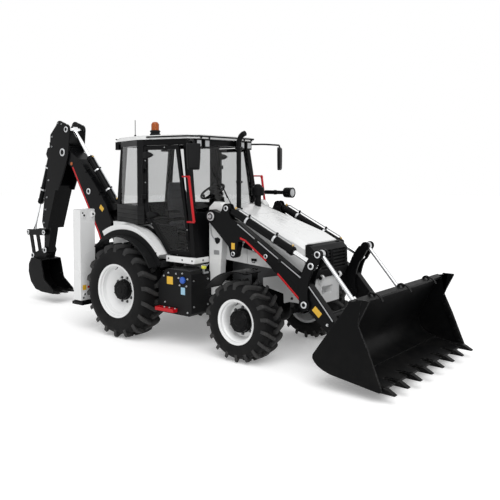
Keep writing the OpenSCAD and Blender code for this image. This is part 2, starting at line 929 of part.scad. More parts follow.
module loader_arms() {
  color("#222426")
    difference() {
      union() {
        pair()
          plate(arm_in_y, arm_outer_y) {
            polygon([[1400, 1790], [1560, 1650], [1790, 1440], [1815, 1350], [1925, 1350], [1960, 1520],
              [2070, 1530], [2450, 1270], [2720, 1040], [3090, 720], [3420, 450], [3540, 560], [3330, 800],
              [3060, 1100], [1960, 1770], [1830, 1825], [1790, 1900], [1805, 1960], [1690, 1980], [1640, 1890],
              [1480, 1930]]);
            translate(arm_pin)
              circle(r = 95);
            translate(tilt_base)
              circle(r = 65);
            translate(arm_ear)
              circle(r = 56);
            translate(bucket_pin)
              circle(r = 72);
          }
        bar_y(cross_tube, 70, -arm_in_y - 10, arm_in_y + 10);
        pair()
          bar_y(lift_eye, 60, arm_in_y - 12, arm_in_y + 5);
        pair()
          bar_y(lever_pin, 40, arm_in_y - 42, arm_outer_y + 42);
      }
      pair() {
        bar_y(arm_pin, 45 + pin_fit, 400, 700);
        bar_y(bucket_pin, 36 + pin_fit, 400, 700);
        bar_y(arm_ear, 26, 400, 700);
        plate(arm_mid_y - 28, arm_mid_y + 28)
          polygon([[1600, 1870], [2000, 1765], [2000, 2100], [1600, 2100]]);
      }
      plate(-arm_in_y + 60, arm_in_y - 60)
        translate(cross_tube)
          circle(r = 56);
    }
  color("#222426")
    pair()
      bar_y(tilt_base, 28, arm_in_y, arm_outer_y);
}

module lift_barrels() {
  color("#222426")
    pair()
      barrel(lift_base, lift_eye, lift_y, 42, 640, 26, 42, 60, 26);
}

module lift_rods() {
  color("#c9ced2")
    pair()
      rod(lift_base, lift_eye, lift_y, 135, 26, 40, 60, 22, 70);
}

// Curved side of a bell crank lever, hollow towards the bucket
module lever_outline() {
  c = lever_pin + [687, 135];
  r = norm(lever_pin - c);
  a0 = ang(c, [3205, 1395]);
  a1 = ang(c, lever_pin) + 360;
  intersection() {
    difference() {
      translate(c)
        circle(r = r + 68, $fn = 128);
      translate(c)
        circle(r = r - 62, $fn = 128);
    }
    polygon([c, c + polar(1400, a0), c + polar(1400, (a0 + a1) / 2), c + polar(1400, a1)]);
  }
  translate(lever_pin)
    circle(r = 78);
  taper(tilt_eye, link_top, 62, 56);
}

// Bell crank levers: two plates beside each arm, joined at their top
module levers() {
  color("#222426")
    pair()
      difference() {
        union() {
          for (y = [arm_in_y - side_gap - 26, arm_outer_y + side_gap])
            plate(y, y + 26) {
              lever_outline();
            }
          bar_y(link_top, 30, arm_in_y - side_gap - 26, arm_outer_y + side_gap + 26);
        }
        bar_y(lever_pin, 40 + pin_fit, 400, 800);
      }
}

module tilt_barrels() {
  color("#222426")
    pair()
      barrel(tilt_base, tilt_eye, arm_mid_y, 52, 1190, 30, 46, 50, 28);
}

module tilt_rods() {
  color("#c9ced2")
    pair()
      rod(tilt_base, tilt_eye, arm_mid_y, 265, 30, 44, 56, 26, 96);
}

module bucket_links() {
  color("#8f9498")
    pair()
      difference() {
        union() {
          along(link_top, ang(link_top, link_low), arm_mid_y)
            cylinder(r = 25, h = norm(link_low - link_top));
          bar_y(link_top, 50, arm_mid_y - 26, arm_mid_y + 26);
          bar_y(link_low, 46, arm_mid_y - 26, arm_mid_y + 26);
          bar_y(link_low, 26, arm_mid_y - 48, arm_mid_y + 48);
        }
        bar_y(link_top, 30 + pin_fit, 400, 800);
      }
}

module loader_bucket() {
  h = loader_bucket_w / 2;
  outer = [[3970, 1030], [3510, 395], [3506, 350], [3535, 308], [3580, 270], [3640, 238], [3740, 206], [4340, 120]];
  inner = [[3988, 1018], [3535, 392], [3531, 357], [3553, 325], [3592, 291], [3648, 261], [3744, 229], [4340, 142]];
  color("#2a2c2d") {
    plate(-h, h)
      polygon(concat(outer, [for (i = [len(inner) - 1:-1:0]) inner[i]]));
    plate(-h, h)
      polygon([[3960, 1022], [3975, 1062], [4052, 1040], [4046, 1012], [3992, 1012]]);
    for (y = [-h * 0.62, 0, h * 0.62])
      arch([4010, 1046], 26, 52, 0, 200, y - 16, y + 16);
    pair()
      plate(h - bucket_shell, h)
        polygon(concat(outer, [[4380, 130], [4200, 560], [4085, 800], [4130, 1085], [4040, 1062], [3965, 1050]]));
    for (i = [0:7])
      tooth(-h + 80 + i * (2 * h - 160) / 7);
    pair()
      for (y = [arm_in_y - side_gap - 26, arm_outer_y + side_gap])
        plate(y, y + 26) {
          taper(bucket_pin, [3620, 420], 72, 60);
          taper(link_low, [3800, 790], 50, 60);
          polygon([[3470, 570], [3700, 890], [3800, 830], [3620, 380], [3500, 400]]);
        }
    pair()
      bar_y(bucket_pin, 36, arm_in_y - side_gap - 26, arm_outer_y + side_gap + 26);
  }
}

module tooth(y) {
  plate(y - 32, y + 32)
    polygon([[4280, 165], [4400, 165], [4500, 112], [4500, 104], [4280, 110]]);
}

// Side-shift carriage on the rear frame, with the jaws of the swing post
module carriage() {
  color("#232527")
    difference() {
      union() {
        block([-1012, -250, 575], [leg_x[0] - 0.5, 250, 1285]);
        block([-1012, -240, 1300.5], [leg_x[0] + 70, 240, 1330]);
        block([-1012, -240, 1280], [leg_x[0] - 0.5, 240, 1330]);
        for (z = jaw_z) {
          block([-swing_back, -60, z], [-1000, 60, z + 60]);
          translate([-swing_back, 0, z])
            cylinder(r = jaw_r, h = 60);
        }
      }
      translate([-swing_back, 0, 500])
        cylinder(r = 50 + pin_fit, h = 1000);
    }
}

module swing_post() {
  fork = [boom_half_w + side_gap, boom_half_w + side_gap + 28];
  color("#232527") {
    translate([-swing_back, 0, jaw_z[0] + 66])
      cylinder(r = 86, h = jaw_z[1] - jaw_z[0] - 72);
    pair()
      plate(fork[0], fork[1])
        taper(post_pin, [-swing_back - 20, 830], 85, 60);
    block([-swing_back - 80, -fork[1], 750], [-swing_back + 38, fork[1], 840]);
    pair()
      plate(70, 92)
        polygon([[-swing_back - 30, jaw_z[1] + 64], [-swing_back + 78, jaw_z[1] + 64], boom_base + [52, -10],
          boom_base + [-50, 20]]);
    pair()
      bar_y(boom_base, 52, 70, 92);
    translate([-swing_back, 0, jaw_z[1] + 62])
      cylinder(r = 84, h = 18);
    block([-swing_back, -92, jaw_z[1] + 62], [-swing_back + 78, 92, jaw_z[1] + 80]);
    translate([-swing_back, 0, jaw_z[0]])
      cylinder(r = 50, h = jaw_z[1] - jaw_z[0] + 70);
    bar_y(post_pin, 42, -fork[1], fork[1]);
    bar_y(boom_base, 28, -92, 92);
  }
}

module boom_outline() {
  polygon([[-1384, 940], [-1610, 1410], [-2320, 2530], [-2630, 2730], [-2560, 2925], [-2420, 2850],
    [-2120, 2680], [-1700, 2262], [-1370, 1880], [-1240, 1600], [-1334, 1300], [-1344, 1028], [-1217, 930]]);
  translate(post_pin)
    circle(r = 85);
  translate(boom_tip)
    circle(r = 115);
}

module boom() {
  color("#222426") {
    difference() {
      union() {
        plate(-boom_half_w, boom_half_w)
          boom_outline();
        pair()
          plate(58, 84)
            taper(dip_base, [-1400, 1850], 60, 60);
      }
      plate(-boom_half_w + 28, boom_half_w - 28)
        union() {
          polygon([[-1100, 700], [-1500, 700], [-1560, 1290], [-1950, 1990], [-1970, 2160], [-1840, 2255],
            [-1650, 2060], [-1400, 1790], [-1000, 1780]]);
          translate(boom_eye)
            circle(r = 140);
        }
      bar_y(post_pin, 42 + pin_fit, -300, 300);
      bar_y(boom_tip, 45 + pin_fit, -300, 300);
    }
    bar_y(dip_base, 30, -84, 84);
  }
}

module boom_barrel() {
  color("#222426")
    barrel(boom_base, boom_eye, 0, 58, 840, 32, 48, 74, 28);
}

module boom_rod() {
  color("#c9ced2")
    rod(boom_base, boom_eye, 0, 235, 32, 48, 90, 30, 200);
}

// Side plate of the dipper head, round at its top
module dipper_head() {
  polygon([[-2640, 3385], [-2470, 3330], [-2345, 3210], [-2400, 2720], [-2700, 2120], [-3100, 2120],
    [-2940, 2900], [-2920, 3140], [-2735, 3310]]);
  translate([-2640, 3290])
    circle(r = 95);
  translate(dip_eye)
    circle(r = 95);
}

module dipper() {
  color("#222426")
    difference() {
      union() {
        pair()
          plate(boom_half_w + side_gap, boom_half_w + side_gap + 23)
            dipper_head();
        plate(-boom_half_w - side_gap - 23, boom_half_w + side_gap + 23)
          polygon([[-2750, 2200], [-3050, 1400], [-3180, 1400], [-3222, 1520], [-3060, 2350], [-2960, 2480]]);
        plate(-78, 78)
          union() {
            polygon([[-3070, 1420], [-3190, 960], [-3310, 960], [-3298, 1310], [-3205, 1480]]);
            translate(hoe_pin)
              circle(r = 62);
            translate(rock_pin)
              circle(r = 60);
          }
        pair()
          plate(54, 80)
            polygon([[-2950, 2950], [-3160, 2900], [-3210, 2790], [-3010, 2450], [-2950, 2430]]);
        plate(-boom_half_w - side_gap - 20, boom_half_w + side_gap + 20)
          polygon([[-2955, 3000], [-2925, 3000], [-2925, 2400], [-2955, 2400]]);
        bar_y(rock_pin, 28, -134, 134);
        bar_y(boom_tip, 45, -boom_half_w - side_gap - 30, boom_half_w + side_gap + 30);
        bar_y(hoe_base, 28, -80, 80);
      }
      bar_y(hoe_pin, 32 + pin_fit, -300, 300);
    }
}

module dipper_barrel() {
  color("#222426")
    barrel(dip_base, dip_eye, 0, 58, 1130, 34, 52, 108, 30);
}

module dipper_rod() {
  color("#c9ced2")
    rod(dip_base, dip_eye, 0, 640, 34, 52, 100, 32, 290);
}

module rocker() {
  color("#222426")
    pair()
      difference() {
        union() {
          plate(113, 133)
            taper(rock_pin, rock_tip, 58, rock_tip_r);
          bar_y(rock_tip, 28, 54, 133);
        }
        bar_y(rock_pin, 28 + pin_fit, 0, 200);
      }
}

module hoe_link() {
  color("#222426")
    pair()
      difference() {
        union() {
          plate(60, 80)
            taper(rock_tip, hoe_low, 50, 46);
          bar_y(hoe_low, 26, 30, 82);
        }
        bar_y(rock_tip, 28 + pin_fit, 0, 200);
      }
}

module hoe_barrel() {
  color("#222426")
    barrel(hoe_base, rock_tip, 0, 50, 1040, 30, 44, 76, 28);
}

module hoe_rod() {
  color("#c9ced2")
    rod(hoe_base, rock_tip, 0, 640, 30, 44, 84, 24, 100);
}

module hoe_bucket() {
  h = hoe_bucket_w / 2;
  outer = [[-3250, 800], [-3530, 815], [-3610, 690], [-3620, 540], [-3550, 360], [-3400, 230], [-3200, 195],
    [-2840, 190]];
  inner = [[-3250, 782], [-3515, 796], [-3588, 684], [-3598, 545], [-3534, 372], [-3392, 250], [-3200, 216],
    [-2840, 208]];
  color("#2a2c2d") {
    plate(-h, h)
      polygon(concat(outer, [for (i = [len(inner) - 1:-1:0]) inner[i]]));
    pair()
      plate(h - 18, h)
        polygon(concat(outer, [[-2830, 240], [-3130, 430], [-3230, 800]]));
    pair()
      plate(86, 108) {
        taper(hoe_pin, [-3330, 830], 62, 60);
        taper(hoe_low, [-3540, 800], 50, 60);
        polygon([[-3220, 880], [-3320, 1000], [-3640, 880], [-3560, 790], [-3260, 790]]);
      }
    for (y = [-h + 50, 0, h - 50])
      plate(y - 28, y + 28)
        polygon([[-2900, 225], [-2820, 225], [-2720, 205], [-2720, 197], [-2900, 185]]);
    bar_y(hoe_pin, 32, -108, 108);
  }
}

translate([-mid_x, 0, 0]) {
  chassis_frame();
  hoe_frame();
  tie_lugs();
  fore() engine_block();
  fore() loader_towers();
  fore() cowl();
  fore() grille();
  fore() nose_weight();
  cab_floor();
  cab_frame();
  cab_roof();
  cab_glass();
  seat();
  controls();
  fender_trim();
  tanks();
  steps_handles();
  fore() stacks();
  lamps();
  beacon();
  mirrors();
  leg_tubes();
  fore() hood();
  door_left();
  door_left_glass();
  door_right();
  door_right_glass();
  knuckle_left();
  knuckle_right();
  tyre_front_left();
  tyre_front_right();
  tyre_rear_left();
  tyre_rear_right();
  rim_front_left();
  rim_front_right();
  rim_rear_left();
  rim_rear_right();
  fore() loader_arms();
  fore() lift_barrels();
  fore() lift_rods();
  fore() levers();
  fore() tilt_barrels();
  fore() tilt_rods();
  fore() bucket_links();
  fore() loader_bucket();
  carriage();
  swing_post();
  boom();
  boom_barrel();
  boom_rod();
  dipper();
  dipper_barrel();
  dipper_rod();
  rocker();
  hoe_link();
  hoe_barrel();
  hoe_rod();
  hoe_bucket();
  stabiliser_left();
  stabiliser_right();
}
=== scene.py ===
import json
import math

import bmesh
import bpy
from mathutils import Matrix, Vector


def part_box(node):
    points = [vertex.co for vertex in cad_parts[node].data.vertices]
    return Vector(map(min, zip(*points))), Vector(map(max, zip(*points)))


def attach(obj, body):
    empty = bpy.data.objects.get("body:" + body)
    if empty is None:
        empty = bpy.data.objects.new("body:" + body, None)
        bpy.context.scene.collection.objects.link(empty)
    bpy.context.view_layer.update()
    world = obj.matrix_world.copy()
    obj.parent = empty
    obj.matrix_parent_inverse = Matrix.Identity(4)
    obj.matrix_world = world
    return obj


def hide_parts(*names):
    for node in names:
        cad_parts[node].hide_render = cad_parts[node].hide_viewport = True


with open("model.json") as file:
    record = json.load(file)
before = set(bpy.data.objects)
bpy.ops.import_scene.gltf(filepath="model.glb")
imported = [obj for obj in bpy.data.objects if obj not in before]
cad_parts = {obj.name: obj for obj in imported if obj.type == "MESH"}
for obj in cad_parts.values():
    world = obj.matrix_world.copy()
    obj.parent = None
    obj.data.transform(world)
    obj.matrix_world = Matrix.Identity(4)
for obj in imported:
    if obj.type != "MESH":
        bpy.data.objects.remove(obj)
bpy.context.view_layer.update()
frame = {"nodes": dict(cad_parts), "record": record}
midX = 0.3425  # rear axle to the middle of the machine
print("frame loaded:", len(frame["nodes"]), "nodes")


# node helpers

def addNode(tree, kind, inputs=None, **settings):
    node = tree.nodes.new(kind)
    for key, value in settings.items():
        setattr(node, key, value)
    for key, value in (inputs or {}).items():
        node.inputs[key].default_value = value
    return node


def newGroup(name, ins, outs):
    tree = bpy.data.node_groups.new(name, "ShaderNodeTree")
    for label, kind, value in ins:
        socket = tree.interface.new_socket(label, in_out="INPUT", socket_type=kind)
        socket.default_value = value
    for label, kind in outs:
        tree.interface.new_socket(label, in_out="OUTPUT", socket_type=kind)
    return tree, addNode(tree, "NodeGroupInput"), addNode(tree, "NodeGroupOutput")


def buildGrainGroup():
    tree, gin, gout = newGroup("surfaceGrain", [
        ("Scale", "NodeSocketFloat", 60.0), ("Low", "NodeSocketFloat", 0.3), ("High", "NodeSocketFloat", 0.4)],
        [("Roughness", "NodeSocketFloat"), ("Height", "NodeSocketFloat"), ("Cloud", "NodeSocketFloat")])
    coords = addNode(tree, "ShaderNodeTexCoord")
    fine = addNode(tree, "ShaderNodeTexNoise", {"Detail": 3.0, "Roughness": 0.6})
    cloud = addNode(tree, "ShaderNodeTexNoise", {"Scale": 2.3, "Detail": 4.0})
    spread = addNode(tree, "ShaderNodeMapRange", {"From Min": 0.3, "From Max": 0.7})
    link = tree.links.new
    link(coords.outputs["Object"], fine.inputs["Vector"])
    link(coords.outputs["Object"], cloud.inputs["Vector"])
    link(gin.outputs["Scale"], fine.inputs["Scale"])
    link(cloud.outputs["Fac"], spread.inputs["Value"])
    link(gin.outputs["Low"], spread.inputs["To Min"])
    link(gin.outputs["High"], spread.inputs["To Max"])
    link(spread.outputs["Result"], gout.inputs["Roughness"])
    link(fine.outputs["Fac"], gout.inputs["Height"])
    link(cloud.outputs["Fac"], gout.inputs["Cloud"])
    return tree


def buildDustGroup():
    tree, gin, gout = newGroup("roadDust", [
        ("Reach", "NodeSocketFloat", 0.8), ("Amount", "NodeSocketFloat", 0.2)], [("Mask", "NodeSocketFloat")])
    coords = addNode(tree, "ShaderNodeTexCoord")
    split = addNode(tree, "ShaderNodeSeparateXYZ")
    fade = addNode(tree, "ShaderNodeMapRange", {"To Min": 1.0, "To Max": 0.0})
    patch = addNode(tree, "ShaderNodeTexNoise", {"Scale": 7.0, "Detail": 6.0, "Roughness": 0.65})
    crisp = addNode(tree, "ShaderNodeMapRange", {"From Min": 0.38, "From Max": 0.68})
    both = addNode(tree, "ShaderNodeMath", operation="MULTIPLY")
    total = addNode(tree, "ShaderNodeMath", operation="MULTIPLY", use_clamp=True)
    link = tree.links.new
    link(coords.outputs["Object"], split.inputs["Vector"])
    link(coords.outputs["Object"], patch.inputs["Vector"])
    link(split.outputs["Z"], fade.inputs["Value"])
    link(gin.outputs["Reach"], fade.inputs["From Max"])
    link(patch.outputs["Fac"], crisp.inputs["Value"])
    link(fade.outputs["Result"], both.inputs[0])
    link(crisp.outputs["Result"], both.inputs[1])
    link(both.outputs["Value"], total.inputs[0])
    link(gin.outputs["Amount"], total.inputs[1])
    link(total.outputs["Value"], gout.inputs["Mask"])
    return tree


def buildWearGroup():
    tree, gin, gout = newGroup("edgeWear", [("Amount", "NodeSocketFloat", 0.5)], [("Mask", "NodeSocketFloat")])
    coords = addNode(tree, "ShaderNodeTexCoord")
    soft = addNode(tree, "ShaderNodeBevel", {"Radius": 0.012}, samples=4)
    flat = addNode(tree, "ShaderNodeNewGeometry")
    turn = addNode(tree, "ShaderNodeVectorMath", operation="DOT_PRODUCT")
    edge = addNode(tree, "ShaderNodeMapRange", {"From Min": 0.99, "From Max": 0.8})
    chips = addNode(tree, "ShaderNodeTexNoise", {"Scale": 38.0, "Detail": 5.0, "Roughness": 0.7})
    crisp = addNode(tree, "ShaderNodeMapRange", {"From Min": 0.46, "From Max": 0.58})
    both = addNode(tree, "ShaderNodeMath", operation="MULTIPLY")
    total = addNode(tree, "ShaderNodeMath", operation="MULTIPLY", use_clamp=True)
    link = tree.links.new
    link(coords.outputs["Object"], chips.inputs["Vector"])
    link(soft.outputs["Normal"], turn.inputs[0])
    link(flat.outputs["Normal"], turn.inputs[1])
    link(turn.outputs["Value"], edge.inputs["Value"])
    link(chips.outputs["Fac"], crisp.inputs["Value"])
    link(edge.outputs["Result"], both.inputs[0])
    link(crisp.outputs["Result"], both.inputs[1])
    link(both.outputs["Value"], total.inputs[0])
    link(gin.outputs["Amount"], total.inputs[1])
    link(total.outputs["Value"], gout.inputs["Mask"])
    return tree


grainGroup = buildGrainGroup()
dustGroup = buildDustGroup()
wearGroup = buildWearGroup()
print("shared surface effects ready")


def makeFinish(name, look):
    finish = bpy.data.materials.new(name)
    finish.use_nodes = True
    tree = finish.node_tree
    shader = tree.nodes["Principled BSDF"]
    link = tree.links.new
    tone = Vector(look["tone"])
    grain = addNode(tree, "ShaderNodeGroup", node_tree=grainGroup)
    grain.inputs["Scale"].default_value = look.get("grain", 90.0)
    grain.inputs["Low"].default_value = look["rough"][0]
    grain.inputs["High"].default_value = look["rough"][1]
    link(grain.outputs["Roughness"], shader.inputs["Roughness"])
    shift = look.get("shift", 0.06)  # light and dark clouds in the colour
    cloud = addNode(tree, "ShaderNodeMix", data_type="RGBA")
    cloud.inputs[6].default_value = (*(tone * (1 - shift)), 1)
    cloud.inputs[7].default_value = (*[min(1, c * (1 + shift)) for c in tone], 1)
    link(grain.outputs["Cloud"], cloud.inputs["Factor"])
    colour = cloud.outputs[2]
    if "wear" in look:
        wear = addNode(tree, "ShaderNodeGroup", node_tree=wearGroup)
        wear.inputs["Amount"].default_value = look["wear"]
        bare = addNode(tree, "ShaderNodeMix", data_type="RGBA")
        bare.inputs[7].default_value = (*look["bare"], 1)
        link(wear.outputs["Mask"], bare.inputs["Factor"])
        link(colour, bare.inputs[6])
        colour = bare.outputs[2]
    if "dust" in look:
        dust = addNode(tree, "ShaderNodeGroup", node_tree=dustGroup)
        dust.inputs["Reach"].default_value = look["dust"][0]
        dust.inputs["Amount"].default_value = look["dust"][1]
        film = addNode(tree, "ShaderNodeMix", data_type="RGBA")
        film.inputs[7].default_value = (0.24, 0.225, 0.2, 1)
        link(dust.outputs["Mask"], film.inputs["Factor"])
        link(colour, film.inputs[6])
        colour = film.outputs[2]
    link(colour, shader.inputs["Base Color"])
    bump = addNode(tree, "ShaderNodeBump", {"Strength": look.get("relief", 0.05), "Distance": 0.002})
    link(grain.outputs["Height"], bump.inputs["Height"])
    if look.get("round", 0):
        soft = addNode(tree, "ShaderNodeBevel", {"Radius": look["round"]}, samples=3)
        link(soft.outputs["Normal"], bump.inputs["Normal"])
    link(bump.outputs["Normal"], shader.inputs["Normal"])
    shader.inputs["Metallic"].default_value = look.get("metal", 0.0)
    shader.inputs["Specular IOR Level"].default_value = look.get("specular", 0.5)
    shader.inputs["Coat Weight"].default_value = look.get("coat", 0.0)
    shader.inputs["Coat Roughness"].default_value = look.get("coatRough", 0.08)
    return finish


finishLooks = {
    "blackPaint": {"tone": (0.0032, 0.0033, 0.0037), "rough": (0.26, 0.38), "grain": 130, "relief": 0.03, "shift": 0.12,
                   "dust": (0.9, 0.015), "specular": 0.08, "round": 0.005},
    "whitePaint": {"tone": (0.74, 0.745, 0.745), "rough": (0.24, 0.34), "grain": 140, "relief": 0.025, "shift": 0.02,
                   "dust": (1.0, 0.07), "coat": 0.25, "round": 0.006},
    "redPaint": {"tone": (0.46, 0.0045, 0.009), "rough": (0.28, 0.38), "grain": 150, "relief": 0.03, "shift": 0.05,
                 "specular": 0.25, "coat": 0.03, "round": 0.003},
    "blackPlastic": {"tone": (0.0068, 0.007, 0.0074), "rough": (0.48, 0.62), "grain": 420, "relief": 0.16, "shift": 0.1,
                     "dust": (1.0, 0.015), "specular": 0.11, "round": 0.005},
    "bucketPaint": {"tone": (0.0022, 0.0023, 0.0025), "rough": (0.34, 0.46), "grain": 90, "relief": 0.05, "shift": 0.16,
                    "dust": (0.75, 0.02), "wear": 0.4, "bare": (0.12, 0.12, 0.12), "specular": 0.07, "round": 0.004},
    "tyreRubber": {"tone": (0.0042, 0.0042, 0.0045), "rough": (0.6, 0.78), "grain": 260, "relief": 0.2, "shift": 0.2,
                   "dust": (0.9, 0.03), "specular": 0.12},
    # lug rubber: a lighter, glossier copy of the tyre rubber, painted highlight standing in for light on the lug faces;
    # its heavier dust film is real dust
    "litLugRubber": {"tone": (0.019, 0.019, 0.0195), "rough": (0.55, 0.75), "grain": 240, "relief": 0.2, "shift": 0.35,
                  "dust": (1.5, 0.1), "specular": 0.25, "round": 0.006},
    "darkSteel": {"tone": (0.09, 0.092, 0.095), "rough": (0.34, 0.46), "grain": 260, "relief": 0.05, "metal": 0.8},
    "rodChrome": {"tone": (0.86, 0.87, 0.88), "rough": (0.08, 0.14), "grain": 500, "relief": 0.01, "shift": 0.02,
                  "metal": 1.0},
    "bareSteel": {"tone": (0.55, 0.56, 0.57), "rough": (0.26, 0.4), "grain": 300, "relief": 0.06, "shift": 0.08,
                  "metal": 1.0},
    "seatCloth": {"tone": (0.075, 0.077, 0.082), "rough": (0.8, 0.95), "grain": 900, "relief": 0.5, "shift": 0.2,
                  "specular": 0.2},
    "enginePaint": {"tone": (0.05, 0.052, 0.055), "rough": (0.4, 0.55), "grain": 110, "relief": 0.06, "shift": 0.1},
    "amberLens": {"tone": (0.34, 0.072, 0.003), "rough": (0.12, 0.2), "grain": 60, "relief": 0.02, "shift": 0.2,
                  "specular": 0.3, "coat": 0.1},
    "lampLens": {"tone": (0.36, 0.37, 0.38), "rough": (0.1, 0.18), "grain": 45, "relief": 0.12, "shift": 0.12,
                 "coat": 0.8},
    "mirrorGlass": {"tone": (0.8, 0.82, 0.84), "rough": (0.02, 0.05), "grain": 10, "relief": 0.0, "metal": 1.0},
    "yellowLabel": {"tone": (0.68, 0.4, 0.025), "rough": (0.35, 0.45), "grain": 200, "relief": 0.02},
    "blueCap": {"tone": (0.02, 0.09, 0.42), "rough": (0.35, 0.45), "grain": 300, "relief": 0.08},
    "greyPlate": {"tone": (0.3, 0.305, 0.31), "rough": (0.38, 0.5), "grain": 180, "relief": 0.05, "metal": 0.4},
    "hoseRubber": {"tone": (0.016, 0.016, 0.017), "rough": (0.5, 0.62), "grain": 500, "relief": 0.25,
                   "specular": 0.35},
    "brassFitting": {"tone": (0.62, 0.42, 0.16), "rough": (0.24, 0.36), "grain": 200, "relief": 0.03, "metal": 1.0},
    "zincTube": {"tone": (0.42, 0.43, 0.44), "rough": (0.3, 0.42), "grain": 260, "relief": 0.05, "metal": 1.0},
    "sealRubber": {"tone": (0.012, 0.012, 0.013), "rough": (0.6, 0.72), "grain": 400, "relief": 0.1,
                   "specular": 0.3},
    "greyTrim": {"tone": (0.085, 0.088, 0.092), "rough": (0.5, 0.62), "grain": 380, "relief": 0.14},
    "paleLabel": {"tone": (0.28, 0.48, 0.62), "rough": (0.35, 0.45), "grain": 200, "relief": 0.02},
    "limeCap": {"tone": (0.62, 0.62, 0.05), "rough": (0.4, 0.5), "grain": 260, "relief": 0.06},
    "treadPlate": {"tone": (0.06, 0.061, 0.063), "rough": (0.34, 0.46), "grain": 180, "relief": 0.05, "metal": 0.6},
    "dashWarm": {"tone": (0.3, 0.17, 0.09), "rough": (0.3, 0.42), "grain": 160, "relief": 0.05, "shift": 0.3},
}
finishes = {name: makeFinish(name, look) for name, look in finishLooks.items()}


def makeGlass():
    glass = bpy.data.materials.new("cabGlass")
    glass.use_nodes = True
    tree = glass.node_tree
    shader = tree.nodes["Principled BSDF"]
    grain = addNode(tree, "ShaderNodeGroup", node_tree=grainGroup)
    grain.inputs["Scale"].default_value = 6.0
    grain.inputs["Low"].default_value = 0.0
    grain.inputs["High"].default_value = 0.03
    tint = addNode(tree, "ShaderNodeMix", data_type="RGBA")
    tint.inputs[6].default_value = (0.66, 0.665, 0.665, 1)
    tint.inputs[7].default_value = (0.72, 0.725, 0.725, 1)
    tree.links.new(grain.outputs["Cloud"], tint.inputs["Factor"])
    tree.links.new(tint.outputs[2], shader.inputs["Base Color"])
    tree.links.new(grain.outputs["Roughness"], shader.inputs["Roughness"])
    shader.inputs["Transmission Weight"].default_value = 1.0
    shader.inputs["IOR"].default_value = 1.2
    shader.inputs["Metallic"].default_value = 0.0
    return glass


finishes["cabGlass"] = makeGlass()
slotFinish = {
    "black_paint": "blackPaint", "white_paint": "whitePaint", "red_paint": "redPaint", "black_plastic": "blackPlastic",
    "bucket_paint": "bucketPaint", "glass": "cabGlass", "rubber": "tyreRubber", "rod_chrome": "rodChrome",
    "steel": "bareSteel", "seat_cloth": "seatCloth", "engine_paint": "enginePaint", "amber_lens": "amberLens"}
for entry in frame["record"]["subparts"]:
    mesh = frame["nodes"][entry["node"]].data
    mesh.materials.clear()
    mesh.materials.append(finishes[slotFinish[entry["material_slot"]]])
print("finishes on", len(frame["nodes"]), "nodes")


# mesh helpers: everything is built with x from the rear axle and moved by midX at the end

def finishPiece(bm, name, finish, body, sharp=32, replaced=()):
    bmesh.ops.remove_doubles(bm, verts=bm.verts, dist=0.00002)
    bmesh.ops.recalc_face_normals(bm, faces=bm.faces)
    bmesh.ops.translate(bm, verts=bm.verts, vec=(-midX, 0, 0))
    mesh = bpy.data.meshes.new(name)
    bm.to_mesh(mesh)
    bm.free()
    mesh.materials.append(finishes[finish])
    mesh.shade_smooth()
    mesh.set_sharp_from_angle(angle=math.radians(sharp))
    piece = bpy.data.objects.new(name, mesh)
    bpy.context.scene.collection.objects.link(piece)
    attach(piece, body)
    if replaced:
        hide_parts(*replaced)
    return piece


def aimed(centre, axis):
    return Matrix.Translation(centre) @ Vector(axis).to_track_quat("Z", "Y").to_matrix().to_4x4()


def addTurned(bm, profile, centre, axis, steps=40):
    place = aimed(centre, axis)
    verts = [bm.verts.new(place @ Vector((r, 0, h))) for r, h in profile]
    edges = [bm.edges.new(ends) for ends in zip(verts, verts[1:])]
    bmesh.ops.spin(bm, geom=verts + edges, cent=centre, axis=Vector(axis).normalized(), angle=2 * math.pi,
                   steps=steps, use_merge=True)


def addRing(bm, centre, axis, outer, inner, depth, edge=0.003, steps=28):
    addTurned(bm, [(inner, 0), (inner, depth), (outer - edge, depth), (outer, depth - edge), (outer, 0), (inner, 0)],
              centre, axis, steps)


def addKnob(bm, centre, axis, radius, depth, edge=0.004, steps=28):
    addTurned(bm, [(0, 0), (radius, 0), (radius, depth - edge), (radius - edge, depth), (0, depth)], centre, axis,
              steps)


def addBox(bm, low, high, edge=0.0, segments=2, turn=None):
    size = Vector(high) - Vector(low)
    place = Matrix.Translation((Vector(low) + Vector(high)) / 2) @ Matrix.Diagonal((*size, 1))
    made = bmesh.ops.create_cube(bm, size=1, matrix=(turn or Matrix()) @ place)
    if edge:
        rims = list({e for v in made["verts"] for e in v.link_edges})
        bmesh.ops.bevel(bm, geom=rims, offset=edge, segments=segments, profile=0.5, affect="EDGES", material=-1)


def addLoft(bm, sections):
    face = bm.faces.new([bm.verts.new(place) for place in sections[0]])
    for section in sections[1:]:
        made = bmesh.ops.extrude_face_region(bm, geom=[face])["geom"]
        face = next(g for g in made if isinstance(g, bmesh.types.BMFace))
        for vert, place in zip(face.verts, section):
            vert.co = place


def addPlate(bm, outline, y0, y1, edge=0.0, turn=None):
    face = bm.faces.new([bm.verts.new((x, y0, z)) for x, z in outline])
    made = bmesh.ops.extrude_face_region(bm, geom=[face])["geom"]
    tops = [g for g in made if isinstance(g, bmesh.types.BMVert)]
    bmesh.ops.translate(bm, verts=tops, vec=(0, y1 - y0, 0))
    verts = list(face.verts) + tops if face.is_valid else tops
    if edge:
        rims = list({e for v in tops for e in v.link_edges if all(end in tops for end in e.verts)})
        bmesh.ops.bevel(bm, geom=rims, offset=edge, segments=2, profile=0.5, affect="EDGES", material=-1)
    if turn:
        bmesh.ops.transform(bm, matrix=turn, verts=[v for v in verts if v.is_valid])


def addBolt(bm, centre, axis, size):
    place = aimed(centre, axis)
    bmesh.ops.create_cone(bm, cap_ends=True, segments=14, radius1=size * 0.66, radius2=size * 0.62,
                          depth=size * 0.16, matrix=place @ Matrix.Translation((0, 0, size * 0.08)))
    bmesh.ops.create_cone(bm, cap_ends=True, segments=6, radius1=size * 0.5, radius2=size * 0.45,
                          depth=size * 0.44, matrix=place @ Matrix.Translation((0, 0, size * 0.38)))


